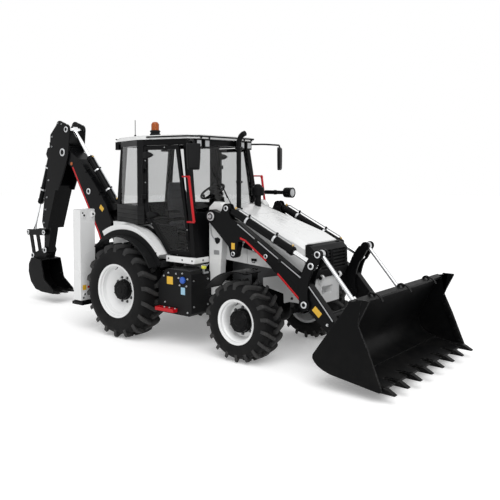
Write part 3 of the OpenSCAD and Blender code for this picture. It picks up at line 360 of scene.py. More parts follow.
def addTube(bm, points, radius, bend=0.06, sides=2, steps=5):
    run = bpy.data.curves.new("run", "CURVE")
    run.dimensions = "3D"
    run.bevel_depth = radius
    run.bevel_resolution = sides
    run.resolution_u = steps
    run.use_fill_caps = True
    places = [Vector(p) for p in points]
    route = [places[0]]
    for before, here, after in zip(places, places[1:], places[2:]):
        room = min(bend, (here - before).length * 0.45, (after - here).length * 0.45)
        route += [here + (before - here).normalized() * room, here, here + (after - here).normalized() * room]
    route.append(places[-1])
    spline = run.splines.new("NURBS")
    spline.points.add(len(route) - 1)
    for point, place in zip(spline.points, route):
        point.co = (*place, 1)
    spline.order_u = min(3, len(route))
    spline.use_endpoint_u = True
    holder = bpy.data.objects.new("run", run)
    bpy.context.scene.collection.objects.link(holder)
    mesh = bpy.data.meshes.new_from_object(holder.evaluated_get(bpy.context.evaluated_depsgraph_get()))
    bm.from_mesh(mesh)
    bpy.data.objects.remove(holder)
    bpy.data.curves.remove(run)
    bpy.data.meshes.remove(mesh)


# wheels

wheelLook = {
    "rear": {"rim": 0.385, "lugs": 18, "lugHeight": 0.056, "lugWide": 0.056, "disc": 0.02, "hub": 0.143, "face": 0.13,
             "bolts": 10, "boltRing": 0.185},
    "front": {"rim": 0.282, "lugs": 18, "lugHeight": 0.046, "lugWide": 0.044, "disc": 0.03, "hub": 0.146,
              "face": 0.15, "bolts": 8, "boltRing": 0.172}}


def tyrePiece(end, body, node):
    look = wheelLook[end]
    low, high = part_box(node)
    centre = (low + high) / 2 + Vector((midX, 0, 0))
    radius, wide, rim = (high.z - low.z) / 2, high.y - low.y, look["rim"]
    crown = radius - look["lugHeight"]
    wall = rim + (radius - rim) * 0.45
    half = [(rim - 0.006, 0.42), (rim + 0.012, 0.452), (rim + 0.024, 0.462), (rim + 0.03, 0.47), (rim + 0.05, 0.485),
            (wall, 0.498), (radius - 0.1, 0.487), (crown - 0.026, 0.452), (crown - 0.008, 0.38), (crown, 0.2)]
    bm = bmesh.new()
    profile = [(r, h * wide) for r, h in half] + [(r, -h * wide) for r, h in reversed(half)]
    addTurned(bm, profile, centre, (0, 1, 0), 80)
    bars = bmesh.new()
    for row in (1, -1):
        lug = bmesh.new()
        stations = [(-0.012, radius, crown - 0.01, 0.0), (0.05 * wide, radius, crown - 0.01, 0.03),
                    (0.2 * wide, radius - 0.001, crown - 0.012, 0.24),
                    (0.34 * wide, radius - 0.004, crown - 0.02, 0.44),
                    (0.43 * wide, radius - 0.012, crown - 0.05, 0.55), (0.475 * wide, radius - 0.03, crown - 0.08, 0.6),
                    (0.49 * wide, radius - 0.075, crown - 0.085, 0.62)]
        sections = []
        for y, top, foot, sweep in stations:
            thick = look["lugWide"] * (0.5 + 0.12 * y / wide)
            around = sweep * 0.42 * wide / radius * 1.05 + (0.0 if row > 0 else math.pi / look["lugs"])
            section = []
            for r, grow in ((foot, 1.25), (top - 0.008, 1.0), (top, 0.82), (top, -0.82), (top - 0.008, -1.0),
                            (foot, -1.25)):
                angle = around + thick * grow / radius
                section.append(centre + Vector((-math.sin(angle) * r, row * y, math.cos(angle) * r)))
            sections.append(section)
        addLoft(lug, sections)
        bmesh.ops.spin(lug, geom=lug.verts[:] + lug.edges[:] + lug.faces[:], cent=centre, axis=(0, 1, 0),
                       angle=2 * math.pi * (look["lugs"] - 1) / look["lugs"], steps=look["lugs"] - 1,
                       use_duplicate=True)
        holder = bpy.data.meshes.new("lugRow")
        lug.to_mesh(holder)
        lug.free()
        bars.from_mesh(holder)
        bpy.data.meshes.remove(holder)
    # the lugs take the lighter rubber, a painted highlight on their faces
    finishPiece(bars, "lugs_" + body, "litLugRubber", body, 40)
    return finishPiece(bm, "tread_" + body, "tyreRubber", body, 40, (node,))


def rimPieces(end, side, body, node):
    look = wheelLook[end]
    low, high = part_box(node.replace("rim", "tyre"))
    centre = (low + high) / 2 + Vector((midX, 0, 0))
    wide, rim = high.y - low.y, look["rim"]
    lip, axis = wide * 0.47, (0, side, 0)
    bm = bmesh.new()  # white rim: lip, bead seats, drop well, dish and disc
    addTurned(bm, [(look["hub"] - 0.02, look["disc"]), (look["boltRing"] + 0.03, look["disc"]),
                   (look["boltRing"] + 0.055, look["disc"] + 0.012), (rim - 0.05, look["disc"] + 0.075),
                   (rim - 0.04, look["disc"] + 0.1), (rim - 0.036, lip - 0.05), (rim - 0.022, lip - 0.04),
                   (rim - 0.018, lip - 0.012), (rim + 0.002, lip - 0.004), (rim + 0.013, lip),
                   (rim + 0.014, lip - 0.008), (rim, lip - 0.018), (rim - 0.007, lip - 0.03),
                   (rim - 0.007, -lip + 0.03),
                   (rim, -lip + 0.018), (rim + 0.014, -lip + 0.008), (rim + 0.013, -lip), (rim - 0.018, -lip + 0.012),
                   (rim - 0.03, -lip + 0.05), (rim - 0.036, look["disc"] - 0.05), (rim - 0.06, look["disc"] + 0.02),
                   (look["boltRing"] + 0.03, look["disc"] - 0.016), (look["hub"] - 0.02, look["disc"] - 0.016),
                   (look["hub"] - 0.02, look["disc"])], centre, axis, 64)
    finishPiece(bm, "dish_" + body, "whitePaint", body, 30, (node,))
    hub = look["hub"]
    bm = bmesh.new()  # black reducer: flange, drum, stepped cover with its own screws
    addTurned(bm, [(0, look["face"]), (hub * 0.36, look["face"]), (hub * 0.4, look["face"] - 0.006),
                   (hub * 0.74, look["face"] - 0.008), (hub * 0.8, look["face"] - 0.016),
                   (hub * 0.93, look["face"] - 0.018),
                   (hub, look["face"] - 0.03), (hub, look["disc"] + 0.03), (hub + 0.012, look["disc"] + 0.022),
                   (hub + 0.012, look["disc"] + 0.004), (hub * 0.8, look["disc"]), (hub * 0.8, -0.12), (0.07, -0.13),
                   (0, -0.13)], centre, axis, 48)
    for k in range(8):
        turn = math.tau * (k + 0.5) / 8
        addBolt(bm, centre + Vector((math.cos(turn) * hub * 0.86, side * (look["face"] - 0.018),
                                     math.sin(turn) * hub * 0.86)),
                axis, 0.022)
    finishPiece(bm, "hub_" + body, "blackPaint", body, 30)
    bm = bmesh.new()  # wheel nuts, drain plug and valve
    for k in range(look["bolts"]):
        turn = math.tau * k / look["bolts"]
        addBolt(bm, centre + Vector((math.cos(turn) * look["boltRing"], side * look["disc"],
                                     math.sin(turn) * look["boltRing"])), axis, 0.034)
    valve = centre + Vector((0, side * (lip - 0.05), rim - 0.036))
    addTube(bm, [valve, valve + Vector((0, side * 0.012, -0.02)), valve + Vector((0, side * 0.045, -0.03))], 0.005,
            0.012)
    finishPiece(bm, "nuts_" + body, "darkSteel", body)


for end in ("front", "rear"):
    for hand, side in (("left", 1), ("right", -1)):
        tyrePiece(end, f"wheel_{end}_{hand}", f"tyre_{end}_{hand}")
        rimPieces(end, side, f"wheel_{end}_{hand}", f"rim_{end}_{hand}")
print("wheels done")


# loader arms: stripes, tubes, pin collars, labels

armLook = {"face": 0.64, "stripe": 0.026, "stripeOff": 0.004, "film": 0.0014,
           "lowEdge": [[(1.985, 1.555), (2.07, 1.53), (2.42, 1.29)], [(2.6, 1.142), (2.72, 1.04), (3.04, 0.763)]],
           "topEdge": [(1.965, 1.767), (2.5, 1.44), (3.055, 1.103), (3.3, 0.836), (3.45, 0.664)],
           "tubeClamps": [(2.28, 1.574), (2.66, 1.343)],
           "collars": [(1.47, 1.84, 0.062, 0.036, 0.014), (1.745, 1.96, 0.038, 0.024, 0.01),
                       (1.87, 1.35, 0.032, 0.02, 0.008), (2.42, 1.36, 0.03, 0.019, 0.008)],  # x, z, radii, depth
           "bolts": [(1.47, 0.656, 1.84, 0.045), (3.36, 0.64, 0.6, 0.028)],
           "labels": [(1.87, 1.455, 0.06, 0.085, 0), (3.21, 0.74, 0.13, 0.075, 41)]}  # x, z, width, height, lean


def offsetLine(points, gap):  # the same line moved sideways, mitred at its corners
    places = [Vector(p) for p in points]
    moved = []
    for k, here in enumerate(places):
        before = (here - places[k - 1]).normalized() if k else None
        after = (places[k + 1] - here).normalized() if k < len(places) - 1 else None
        course = ((before or after) + (after or before)).normalized()
        across = Vector((-course.y, course.x))
        lean = across.dot(Vector((-(after or before).y, (after or before).x)))
        moved.append(here + across * gap / max(lean, 0.3))
    return moved


def addStrip(bm, points, near, far, y0, y1):
    outline = offsetLine(points, near) + list(reversed(offsetLine(points, far)))
    addPlate(bm, [(p.x, p.y) for p in outline], y0, y1)


def addLabel(bm, x, z, wide, tall, face, side, film=0.0015, lean=0.0):
    turn = Matrix.Translation((x, 0, z)) @ Matrix.Rotation(lean, 4, "Y")
    low, high = sorted((side * face, side * (face + film)))
    addBox(bm, (-wide / 2, low, -tall / 2), (wide / 2, high, tall / 2), 0.0006, 1, turn)


def armDress(look):
    red, lines, collars, labels, clamps = (bmesh.new() for _ in range(5))
    for side in (1, -1):
        face = side * look["face"]
        for run in look["lowEdge"]:
            addStrip(red, run, look["stripeOff"], look["stripeOff"] + look["stripe"], face, face + side * look["film"])
        edge = offsetLine(look["topEdge"], -0.014)
        addTube(lines, [(p.x, face + side * 0.009, p.y) for p in edge], 0.008, 0.08)
        for x, z in look["tubeClamps"]:
            addBox(clamps, (x - 0.03, min(face, face + side * 0.022), z - 0.045),
                   (x + 0.02, max(face, face + side * 0.022), z + 0.012), 0.006)
        for x, z, outer, inner, depth in look["collars"]:
            addRing(collars, (x, face, z), (0, side, 0), outer, inner, depth)
        for x, y, z, size in look["bolts"]:
            addBolt(collars, (x, side * y, z), (0, side, 0), size)
        for x, z, wide, tall, lean in look["labels"]:
            addLabel(labels, x, z, wide, tall, look["face"], side, 0.0015, math.radians(lean))
    finishPiece(red, "armStripes", "redPaint", "loader_arms")
    finishPiece(lines, "armTubes", "zincTube", "loader_arms")
    finishPiece(collars, "armPinCollars", "bareSteel", "loader_arms")
    finishPiece(labels, "armLabels", "yellowLabel", "loader_arms")
    finishPiece(clamps, "armTubeClamps", "blackPlastic", "loader_arms")


armDress(armLook)

leverLook = {"face": 0.673, "collars": [(3.04, 0.81, 0.044, 0.026), (3.14, 1.3, 0.044, 0.026),
                                        (3.234, 1.45, 0.044, 0.028)]}


def leverDress(look):
    collars, caps = bmesh.new(), bmesh.new()
    for side in (1, -1):
        for x, z, outer, inner in look["collars"]:
            addRing(collars, (x, side * look["face"], z), (0, side, 0), outer, inner, 0.012)
        for x, z, outer, inner in look["collars"][1:]:
            addKnob(caps, (x, side * (look["face"] - 0.002), z), (0, side, 0), inner + 0.002, 0.012)
    finishPiece(collars, "leverPinCollars", "bareSteel", "levers")
    finishPiece(caps, "leverPinCaps", "blackPaint", "levers")


leverDress(leverLook)

tiltLook = {"base": (1.745, 1.96), "eye": (3.14, 1.3), "y": 0.59, "barrel": 0.052, "length": 1.19,
            "bands": (0.36, 0.86), "tube": 0.0085, "lift": 0.03}


def alongLine(base, eye, run, lift):
    start, course = Vector(base), (Vector(eye) - Vector(base)).normalized()
    return start + course * run + Vector((-course.y, course.x)) * lift


def cylinderDress(name, look, body, sides, tubeAngle=90):
    bands, tubes, posts, brass = (bmesh.new() for _ in range(4))
    course = (Vector(look["eye"]) - Vector(look["base"])).normalized()
    axis = (course.x, 0, course.y)
    up, swing = math.sin(math.radians(tubeAngle)), math.cos(math.radians(tubeAngle))
    for side in sides:
        y = side * look["y"]
        for run in look["bands"]:
            mid = alongLine(look["base"], look["eye"], run, 0)
            addRing(bands, (mid.x, y, mid.y), axis, look["barrel"] + 0.008, look["barrel"] - 0.002, 0.03)
        reach = look["barrel"] + look["lift"]
        route = []
        for run, lift in ((0.12, 0.5), (0.17, 1.0), (look["length"] - 0.06, 1.0), (look["length"] - 0.03, 0.55)):
            place = alongLine(look["base"], look["eye"], run, reach * lift * up)
            route.append((place.x, y + (side or 1) * reach * lift * swing, place.y))
        addTube(tubes, route, look["tube"], 0.04)
        for run in look["bands"]:
            foot = alongLine(look["base"], look["eye"], run + 0.015, (look["barrel"] - 0.004) * up)
            head = alongLine(look["base"], look["eye"], run + 0.015, (reach + 0.014) * up)
            spread = (side or 1) * swing
            addTube(posts, [(foot.x, y + spread * (look["barrel"] - 0.004), foot.y),
                            (head.x, y + spread * (reach + 0.014), head.y)], 0.016, 0.01)
        for run in (0.12, look["length"] - 0.035):
            place = alongLine(look["base"], look["eye"], run, (look["barrel"] - 0.004) * up)
            normal = Vector((-course.y * up, (side or 1) * swing, course.x * up))
            addKnob(brass, (place.x, y + (side or 1) * swing * (look["barrel"] - 0.004), place.y), normal, 0.015,
                    0.03, 0.003, 12)
        gland = alongLine(look["base"], look["eye"], look["length"], 0)
        addRing(posts, (gland.x, y, gland.y), axis, look["barrel"] * 0.94, look["barrel"] * 0.68, 0.016)
    finishPiece(bands, name + "Bands", "bareSteel", body)
    finishPiece(tubes, name + "Tubes", "zincTube", body)
    finishPiece(posts, name + "Posts", "blackPaint", body)
    finishPiece(brass, name + "Ports", "brassFitting", body)


cylinderDress("tilt", tiltLook, "tilt_barrels", (1, -1))
liftLook = {"base": (1.68, 1.52), "eye": (2.42, 1.36), "y": 0.485, "barrel": 0.042, "length": 0.64,
            "bands": (0.25, 0.45),
            "tube": 0.007, "lift": 0.022}
cylinderDress("lift", liftLook, "lift_barrels", (1, -1))
print("loader linkage dressed")


# loader bucket: cutting edge, tooth shanks, side cutters, back ribs

bucketLook = {"half": 1.2, "shell": 0.022, "teeth": 8,
              "liner": [(4.0, 1.006), (3.94, 0.905), (3.876, 0.8), (3.82, 0.69), (3.772, 0.59), (3.735, 0.5),
                        (3.722, 0.42), (3.732, 0.35),
                        (3.77, 0.29), (3.83, 0.246), (3.9, 0.218), (3.98, 0.2025)]}


def bucketDress(look):
    edge, bolts, collars, ribs = (bmesh.new() for _ in range(4))
    half = look["half"]
    gap = (2 * half - 0.16) / (look["teeth"] - 1)
    addLoft(edge, [[(3.98, y, 0.1975), (4.335, y, 0.1445), (4.36, y, 0.132), (4.335, y, 0.1425), (3.98, y, 0.1945)]
                   for y in (-half + 0.03, half - 0.03)])
    for k in range(look["teeth"]):
        y = -half + 0.08 + k * gap
        for x, z in ((4.24, 0.16), (4.3, 0.165)):
            addBolt(bolts, (x, y, z - 0.001), (0.1, 0, 1), 0.03)
        addLoft(edge, [[(x, y - w, z), (x, y + w, z), (x, y + w, z + t), (x, y - w, z + t)]
                       for x, w, z, t in ((4.2, 0.03, 0.16, 0.008), (4.26, 0.034, 0.152, 0.02),
                                          (4.38, 0.034, 0.14, 0.03),
                                          (4.43, 0.03, 0.12, 0.026))])
    for side in (1, -1):
        face = side * (half - look["shell"])  # inner face of the side plate
        cutter = [(4.355, 0.17), (4.195, 0.555), (4.115, 0.72), (4.055, 0.7), (4.13, 0.53), (4.28, 0.165)]
        addPlate(edge, cutter, face, face - side * 0.014, 0.004)
        for x, z in ((4.3, 0.2), (4.24, 0.35), (4.175, 0.5), (4.1, 0.66)):
            addBolt(bolts, (x, face - side * 0.014, z), (0, -side, 0), 0.032)
        for lug in (0.507, 0.673):
            for x, z, outer, inner in ((3.48, 0.51, 0.062, 0.036), (3.74, 0.87, 0.045, 0.026)):
                out = 1 if lug > 0.6 else -1
                addRing(collars, (x, side * lug, z), (0, side * out, 0), outer, inner, 0.011)
        for y in (0.25, 0.85, 1.05):
            addLoft(ribs, [[(x + 0.003, side * y - 0.02, z), (x + 0.003, side * y + 0.02, z),
                            (x - 0.022, side * y + 0.014, z + 0.016),
                            (x - 0.022, side * y - 0.014, z + 0.016)]
                           for x, z in ((3.94, 0.99), (3.73, 0.7), (3.54, 0.44))])
        addPlate(edge, [(4.045, 1.05), (4.06, 1.084), (4.205, 1.084), (4.215, 1.072), (4.108, 0.86), (4.086, 0.805)],
                 face, side * (half - 0.002))
    liner = bmesh.new()  # curved plate over the lug roots
    addStrip(liner, look["liner"], 0.0, 0.008, -half + look["shell"] + 0.0005, half - look["shell"] - 0.0005)
    for y in (-half * 0.62, 0.0, half * 0.62):
        turns = [math.radians(a) for a in range(118, 8, -10)]
        addStrip(edge, [(4.03 + 0.125 * math.cos(a), 0.965 + 0.125 * math.sin(a)) for a in turns], 0.0, -0.014,
                 y - 0.018, y + 0.018)
    finishPiece(liner, "bucketLiner", "bucketPaint", "loader_bucket", 60)
    finishPiece(edge, "bucketEdge", "bucketPaint", "loader_bucket")
    finishPiece(bolts, "bucketBolts", "blackPaint", "loader_bucket")
    finishPiece(collars, "bucketPinCollars", "bareSteel", "loader_bucket")
    finishPiece(ribs, "bucketBackRibs", "bucketPaint", "loader_bucket")


bucketDress(bucketLook)
print("loader bucket dressed")


# hoe: boom, dipper, cylinders, bucket

boomLook = {"face": 0.15, "film": 0.0014, "lowEdge": [(-1.46, 1.1), (-1.61, 1.41), (-2.32, 2.53)],
            "topTubes": [(-1.42, 1.93), (-1.7, 2.262), (-2.12, 2.68), (-2.42, 2.85)],
            "clamps": [(-1.56, 2.1), (-1.92, 2.486)], "clampY": (0.07,
                                                                 0.13),  # middle left free for the dipper cylinder
            "lanes": (0.085, 0.115), "label": (-1.5, 1.83, 0.11, 0.075), "reflector": (-2.33, 2.6),
            "collars": [(-1.3, 0.185, 0.95, 0.07, 0.043, 0.012), (-1.85, 0.15, 2.115, 0.055, 0.031, 0.01)]}


def boomDress(look):
    red, labels, amber, tubes, clamps, collars = (bmesh.new() for _ in range(6))
    for side in (1, -1):
        face = side * look["face"]
        addStrip(red, look["lowEdge"], -0.006, -0.04, face, face + side * look["film"])
        addLabel(labels, *look["label"], look["face"], side, 0.0015, math.radians(40))
        x, z = look["reflector"]
        addKnob(amber, (x, side * (look["face"] - 0.001), z), (0, side, 0), 0.032, 0.009)
        for lane in look["lanes"]:
            addTube(tubes, [(p.x, side * lane, p.y) for p in offsetLine(look["topTubes"], 0.0115)], 0.01, 0.1)
        for x, z in look["clamps"]:
            low, high = sorted(side * y for y in look["clampY"])
            addBolt(clamps, (x, face, z - 0.035), (0, side, 0), 0.026)
            addBox(clamps, (x - 0.02, low, z - 0.005), (x + 0.02, high, z + 0.026), 0.005, 2)
        for x, y, z, outer, inner, depth in look["collars"]:
            addRing(collars, (x, side * y, z), (0, side, 0), outer, inner, depth)
    finishPiece(red, "boomStripes", "redPaint", "boom")
    finishPiece(labels, "boomLabels", "yellowLabel", "boom")
    finishPiece(amber, "boomReflectors", "amberLens", "boom")
    finishPiece(tubes, "boomTubes", "hoseRubber", "boom")
    finishPiece(clamps, "boomClamps", "blackPaint", "boom")
    finishPiece(collars, "boomPinCollars", "bareSteel", "boom")


boomDress(boomLook)

dipperLook = {"face": 0.18, "bolts": [(-2.99, 2.3), (-3.05, 1.98), (-3.1, 1.75), (-3.16, 1.5)],
              "headBolts": [(-2.68, 3.34), (-2.57, 3.32), (-2.86, 3.1), (-2.88, 2.92)], "pin": (-2.55, 0.186, 2.81),
              "collars": [(-2.55, 0.18, 2.81, 0.072, 0.046, 0.014), (-2.44, 0.18, 3.22, 0.055, 0.033, 0.01),
                          (-3.24, 0.134, 1.31, 0.046, 0.029, 0.012)],
              "hose": [(-2.72, 0.1, 3.3), (-2.8, 0.1, 3.22), (-2.9, 0.11, 3.08), (-2.97, 0.12, 2.98), (-3.0, 0.1, 2.7),
                       (-3.03, 0.1, 2.52)],
              "weld": [(-3.172, 0.176, 1.42), (-3.05, 0.176, 2.18)]}


def dipperDress(look):
    collars, bolts, hoses, welds = (bmesh.new() for _ in range(4))
    for side in (1, -1):
        face = side * look["face"]
        for x, y, z, outer, inner, depth in look["collars"]:
            addRing(collars, (x, side * y, z), (0, side, 0), outer, inner, depth)
        x, y, z = look["pin"]
        addKnob(welds, (x, side * y, z), (0, side, 0), 0.046, 0.006)
        for x, z in look["bolts"]:
            addBolt(bolts, (x, face, z), (0, side, 0), 0.026)
        for x, z in look["headBolts"]:
            addBolt(bolts, (x, face, z), (0, side, 0), 0.024)
        addTube(hoses, [(x, side * y, z) for x, y, z in look["hose"]], 0.013, 0.08)
    for side in (1, -1):
        addTube(welds, [(x, side * y, z) for x, y, z in look["weld"]], 0.006, 0.02)
    finishPiece(collars, "dipperPinCollars", "bareSteel", "dipper")
    finishPiece(bolts, "dipperBolts", "zincTube", "dipper")
    finishPiece(hoses, "dipperHoses", "hoseRubber", "dipper")
    finishPiece(welds, "dipperWelds", "blackPaint", "dipper")


dipperDress(dipperLook)
dipperRamLook = {"base": (-1.24, 1.86), "eye": (-2.44, 3.22), "y": 0.0, "barrel": 0.058, "length": 1.13,
                 "bands": (0.35, 0.8),
                 "tube": 0.009, "lift": 0.024}
bucketRamLook = {"base": (-3.14, 2.83), "eye": (-3.76, 1.29), "y": 0.0, "barrel": 0.05, "length": 1.04,
                 "bands": (0.3, 0.75),
                 "tube": 0.0085, "lift": 0.022}
cylinderDress("dipperRam", dipperRamLook, "dipper_barrel", (0,), -90)
cylinderDress("bucketRam", bucketRamLook, "hoe_barrel", (0,), -90)
print("hoe dressed")


# cab inside: rubber mat, dark lining, headliner

liningLook = {"floor": 1.22, "wall": 0.645, "shelf": 1.68, "ribs": 28, "arch": (-0.03, 0.707, 0.9655),
              "ceiling": [(-0.43, 0.47), (0.19, 0.75), (0.33, 0.75), (1.0, 0.61)]}


def cabLining(look):
    mat, skin, lid = bmesh.new(), bmesh.new(), bmesh.new()
    floor, wall, shelf = look["floor"], look["wall"], look["shelf"]
    addBox(mat, (-0.552, -wall + 0.008, floor + 0.0005), (1.285, wall - 0.008, floor + 0.009), 0.003)
    for k in range(look["ribs"]):
        x = 0.55 + k * 0.024
        addBox(mat, (x, -0.52, floor + 0.007), (x + 0.01, 0.52, floor + 0.0125), 0.002, 1)
    addBox(skin, (-0.5595, -wall + 0.002, floor + 0.002), (-0.5535, wall - 0.002, shelf - 0.001), 0.002)
    cx, cz, reach = look["arch"]
    arc = [(cx + reach * math.cos(math.radians(a)), cz + reach * math.sin(math.radians(a))) for a in range(37, 79, 3)]
    for side in (1, -1):
        near, far = sorted((side * (wall - 0.0065), side * (wall - 0.0005)))
        addBox(skin, (-0.552, near, floor + 0.009), (0.82, far, shelf - 0.001), 0.002)
        near, far = sorted((side * (wall - 0.0065), side * (wall + 0.0225)))
        addBox(skin, (0.34, near, shelf + 0.0005), (0.827, far, shelf + 0.007), 0.002)
        addBox(skin, (0.8205, near, floor + 0.009), (0.827, far, shelf + 0.0005), 0.002)
        addPlate(skin, [(0.8202, 1.27), (0.8202, 1.6795)] + [(0.34, 1.6795)] + [(x, z + 0.002) for x,
                                                                                z in reversed(arc[:-3])],
                 side * (wall + 0.0155), side * (wall + 0.0215))
        addStrip(skin, arc, -0.0005, -0.006, side * (wall + 0.0155), side * 0.75)
        low, high = sorted((side * 0.642, side * 0.786))
        addBox(mat, (0.835, low, floor + 0.0005), (1.228, high, floor + 0.008), 0.003)
        low, high = sorted((side * (wall - 0.05), side * (wall - 0.006)))
        addBox(skin, (0.28, low, 1.3), (0.74, high, 1.46), 0.012, 3)  # map pocket
        low, high = sorted((side * (wall + 0.022), side * 0.788))
        addBox(skin, (0.776, low, 1.2655), (0.837, high, 1.27), 0.002)
        addBox(skin, (0.8305, low, floor + 0.001), (0.837, high, 1.268), 0.002)
        low, high = sorted((side * 0.784, side * 0.7898))
        addBox(skin, (0.838, low, floor + 0.002), (1.228, high, 1.264), 0.002)
        low, high = sorted((side * 0.79, side * 0.812))
        addBox(skin, (0.838, low, 1.2652), (1.225, high, 1.2695), 0.002)
    half = look["ceiling"]
    ring = half + [(x, -y) for x, y in reversed(half)]
    addLoft(lid, [[(x, y, z) for x, y in ring] for z in (2.912, 2.9238)])
    for x in (0.05, 0.45, 0.8):
        addBox(lid, (x, -0.4, 2.906), (x + 0.05, 0.4, 2.914), 0.004)
    finishPiece(mat, "floorMat", "sealRubber", "chassis")
    finishPiece(skin, "cabLining", "blackPlastic", "chassis")
    finishPiece(lid, "headliner", "greyTrim", "chassis")


cabLining(liningLook)

# seat: pan, bellows, two sewn pads, arm rests

seatLook = {"voxel": 0.007, "pressure": 4.0, "frames": 20, "cap": 0.018, "seamDepth": 0.011, "seamWide": 0.009,
            "lean": math.radians(-7.4), "backFoot": (0.215, 1.7)}


def puffPad(bm, name, look):
    holder = bpy.data.meshes.new(name + "Block")
    bm.to_mesh(holder)
    bm.free()
    block = bpy.data.objects.new(name + "Block", holder)
    bpy.context.scene.collection.objects.link(block)
    grid = block.modifiers.new("grid", "REMESH")
    grid.mode = "VOXEL"
    grid.voxel_size = look["voxel"]
    cover = bpy.data.meshes.new_from_object(block.evaluated_get(bpy.context.evaluated_depsgraph_get()))
    bpy.data.objects.remove(block)
    pad = bpy.data.objects.new(name + "Cover", cover)
    bpy.context.scene.collection.objects.link(pad)
    before = [vert.co.copy() for vert in cover.vertices]
    cloth = pad.modifiers.new("cloth", "CLOTH")
    cloth.settings.use_pressure = True
    cloth.settings.uniform_pressure_force = look["pressure"]
    cloth.settings.effector_weights.gravity = 0
    cloth.point_cache.frame_end = look["frames"]
    for step in range(1, look["frames"] + 1):
        bpy.context.scene.frame_set(step)
    puffed = bpy.data.meshes.new_from_object(pad.evaluated_get(bpy.context.evaluated_depsgraph_get()))
    pad.modifiers.clear()
    pad.data = puffed
    for vert, start in zip(puffed.vertices, before):
        move = vert.co - start
        if move.length > look["cap"]:
            vert.co = start + move * (look["cap"] / move.length)
    bpy.context.scene.frame_set(1)
    soft = pad.modifiers.new("soft", "SUBSURF")
    soft.levels = soft.render_levels = 1
    sewn = bmesh.new()
    mesh = bpy.data.meshes.new_from_object(pad.evaluated_get(bpy.context.evaluated_depsgraph_get()))
    sewn.from_mesh(mesh)
    bpy.data.objects.remove(pad)
    bpy.data.meshes.remove(mesh)
    bmesh.ops.smooth_vert(sewn, verts=sewn.verts, factor=0.5, use_axis_x=True, use_axis_y=True, use_axis_z=True)
    return sewn


def sewLine(bm, distance, facing, look):
    bm.normal_update()
    for vert in bm.verts:
        if vert.normal.dot(facing) > 0.35:
            away = distance(vert.co) / look["seamWide"]
            if abs(away) < 3:
                vert.co -= facing * look["seamDepth"] * math.exp(-away * away)


def seatPieces(look):
    up = Vector((0, 0, 1))
    block = bmesh.new()  # cushion, waisted between its corners
    addLoft(block, [[(x, -w, z0), (x, w, z0), (x, w, z1), (x, -w, z1)] for x, w, z0, z1 in (
        (0.185, 0.2, 1.6, 1.66), (0.22, 0.226, 1.592, 1.672), (0.42, 0.222, 1.592, 1.668), (0.58, 0.228, 1.592, 1.674),
        (0.64, 0.212, 1.6, 1.664))])
    bmesh.ops.recalc_face_normals(block, faces=block.faces)
    cushion = puffPad(block, "seatCushion", look)
    for seam in (lambda p: abs(p.y) - 0.15, lambda p: p.x - 0.36, lambda p: p.x - 0.5):
        sewLine(cushion, seam, up, look)
    for vert in cushion.verts:
        vert.co.z = max(vert.co.z, 1.5865)  # rests on the pan
    piece = finishPiece(cushion, "seatCushion", "seatCloth", "chassis", 180, ("seat",))
    foot, lean = look["backFoot"], look["lean"]
    place = Matrix.Translation((foot[0], 0, foot[1])) @ Matrix.Rotation(lean, 4, "Y")
    ahead = place.to_3x3() @ Vector((1, 0, 0))
    block = bmesh.new()  # back rest with shoulders
    outline = [(0.19, 0.02), (0.215, 0.1), (0.208, 0.28), (0.218, 0.4), (0.19, 0.49), (0.165, 0.54), (0.155, 0.59),
               (0.12, 0.608)]
    ring = [(y, z) for y, z in outline] + [(-y, z) for y, z in reversed(outline)]
    addLoft(block, [[place @ Vector((x, y * grow, z)) for y, z in ring] for x, grow in (
        (-0.022, 0.93), (-0.005, 0.99), (0.035, 0.99), (0.055, 0.93))])
    bmesh.ops.recalc_face_normals(block, faces=block.faces)
    back = puffPad(block, "seatBack", look)
    local = place.inverted()
    for seam in (lambda p: abs((local @ p).y) - 0.135, lambda p: (local @ p).z - 0.2, lambda p: (local @ p).z - 0.34,
                 lambda p: (local @ p).z - 0.475):
        sewLine(back, seam, ahead, look)
    piece = finishPiece(back, "seatBackRest", "seatCloth", "chassis", 180)
    shell, bellows, trim = bmesh.new(), bmesh.new(), bmesh.new()
    addLoft(shell, [[(x, -w, z0), (x, w, z0), (x, w, 1.587), (x, -w, 1.587)] for x, w, z0 in (
        (0.165, 0.19, 1.57), (0.2, 0.235, 1.555), (0.56, 0.24, 1.555), (0.655, 0.2, 1.572))])
    addLoft(shell, [[place @ Vector((x, y * 0.86, 0.03 + (z - 0.03) * 0.95)) for y, z in ring] for x in (-0.05, -0.03)])
    addBox(shell, (0.17, -0.12, 1.56), (0.215, 0.12, 1.74), 0.01)
    addBox(trim, (0.22, -0.2, 1.2325), (0.58, 0.2, 1.262), 0.006)
    addBox(trim, (0.2, -0.215, 1.53), (0.6, -0.19, 1.556), 0.005)
    addBox(trim, (0.2, 0.19, 1.53), (0.6, 0.215, 1.556), 0.005)
    rise = [(1.262 + k * 0.0335, 0.02 if k % 2 else 0.0) for k in range(9)]
    addLoft(bellows, [[(0.24 + dent, -0.18 + dent, z), (0.55 - dent, -0.18 + dent, z), (0.55 - dent, 0.18 - dent, z),
                       (0.24 + dent, 0.18 - dent, z)] for z, dent in rise])
    for side in (1, -1):
        low, high = sorted((side * 0.262, side * 0.315))
        addBox(shell, (0.19, low, 1.83), (0.5, high, 1.875), 0.016, 4)
        low, high = sorted((side * 0.2, side * 0.29))
        addBox(shell, (0.165, low, 1.79), (0.21, high, 1.835), 0.01, 3)
    finishPiece(shell, "seatShell", "blackPlastic", "chassis")
    finishPiece(trim, "seatRails", "bareSteel", "chassis")
    finishPiece(bellows, "seatBellows", "hoseRubber", "chassis")


seatPieces(seatLook)
print("cab lining and seat done")

# steering column: tapered tower, dash, wheel with spokes, pedals

columnLook = {"wheel": (0.93, 0, 2.16), "axis": (-0.5736, 0, 0.8192), "reach": 0.19, "grip": 0.016, "spokes": 3}


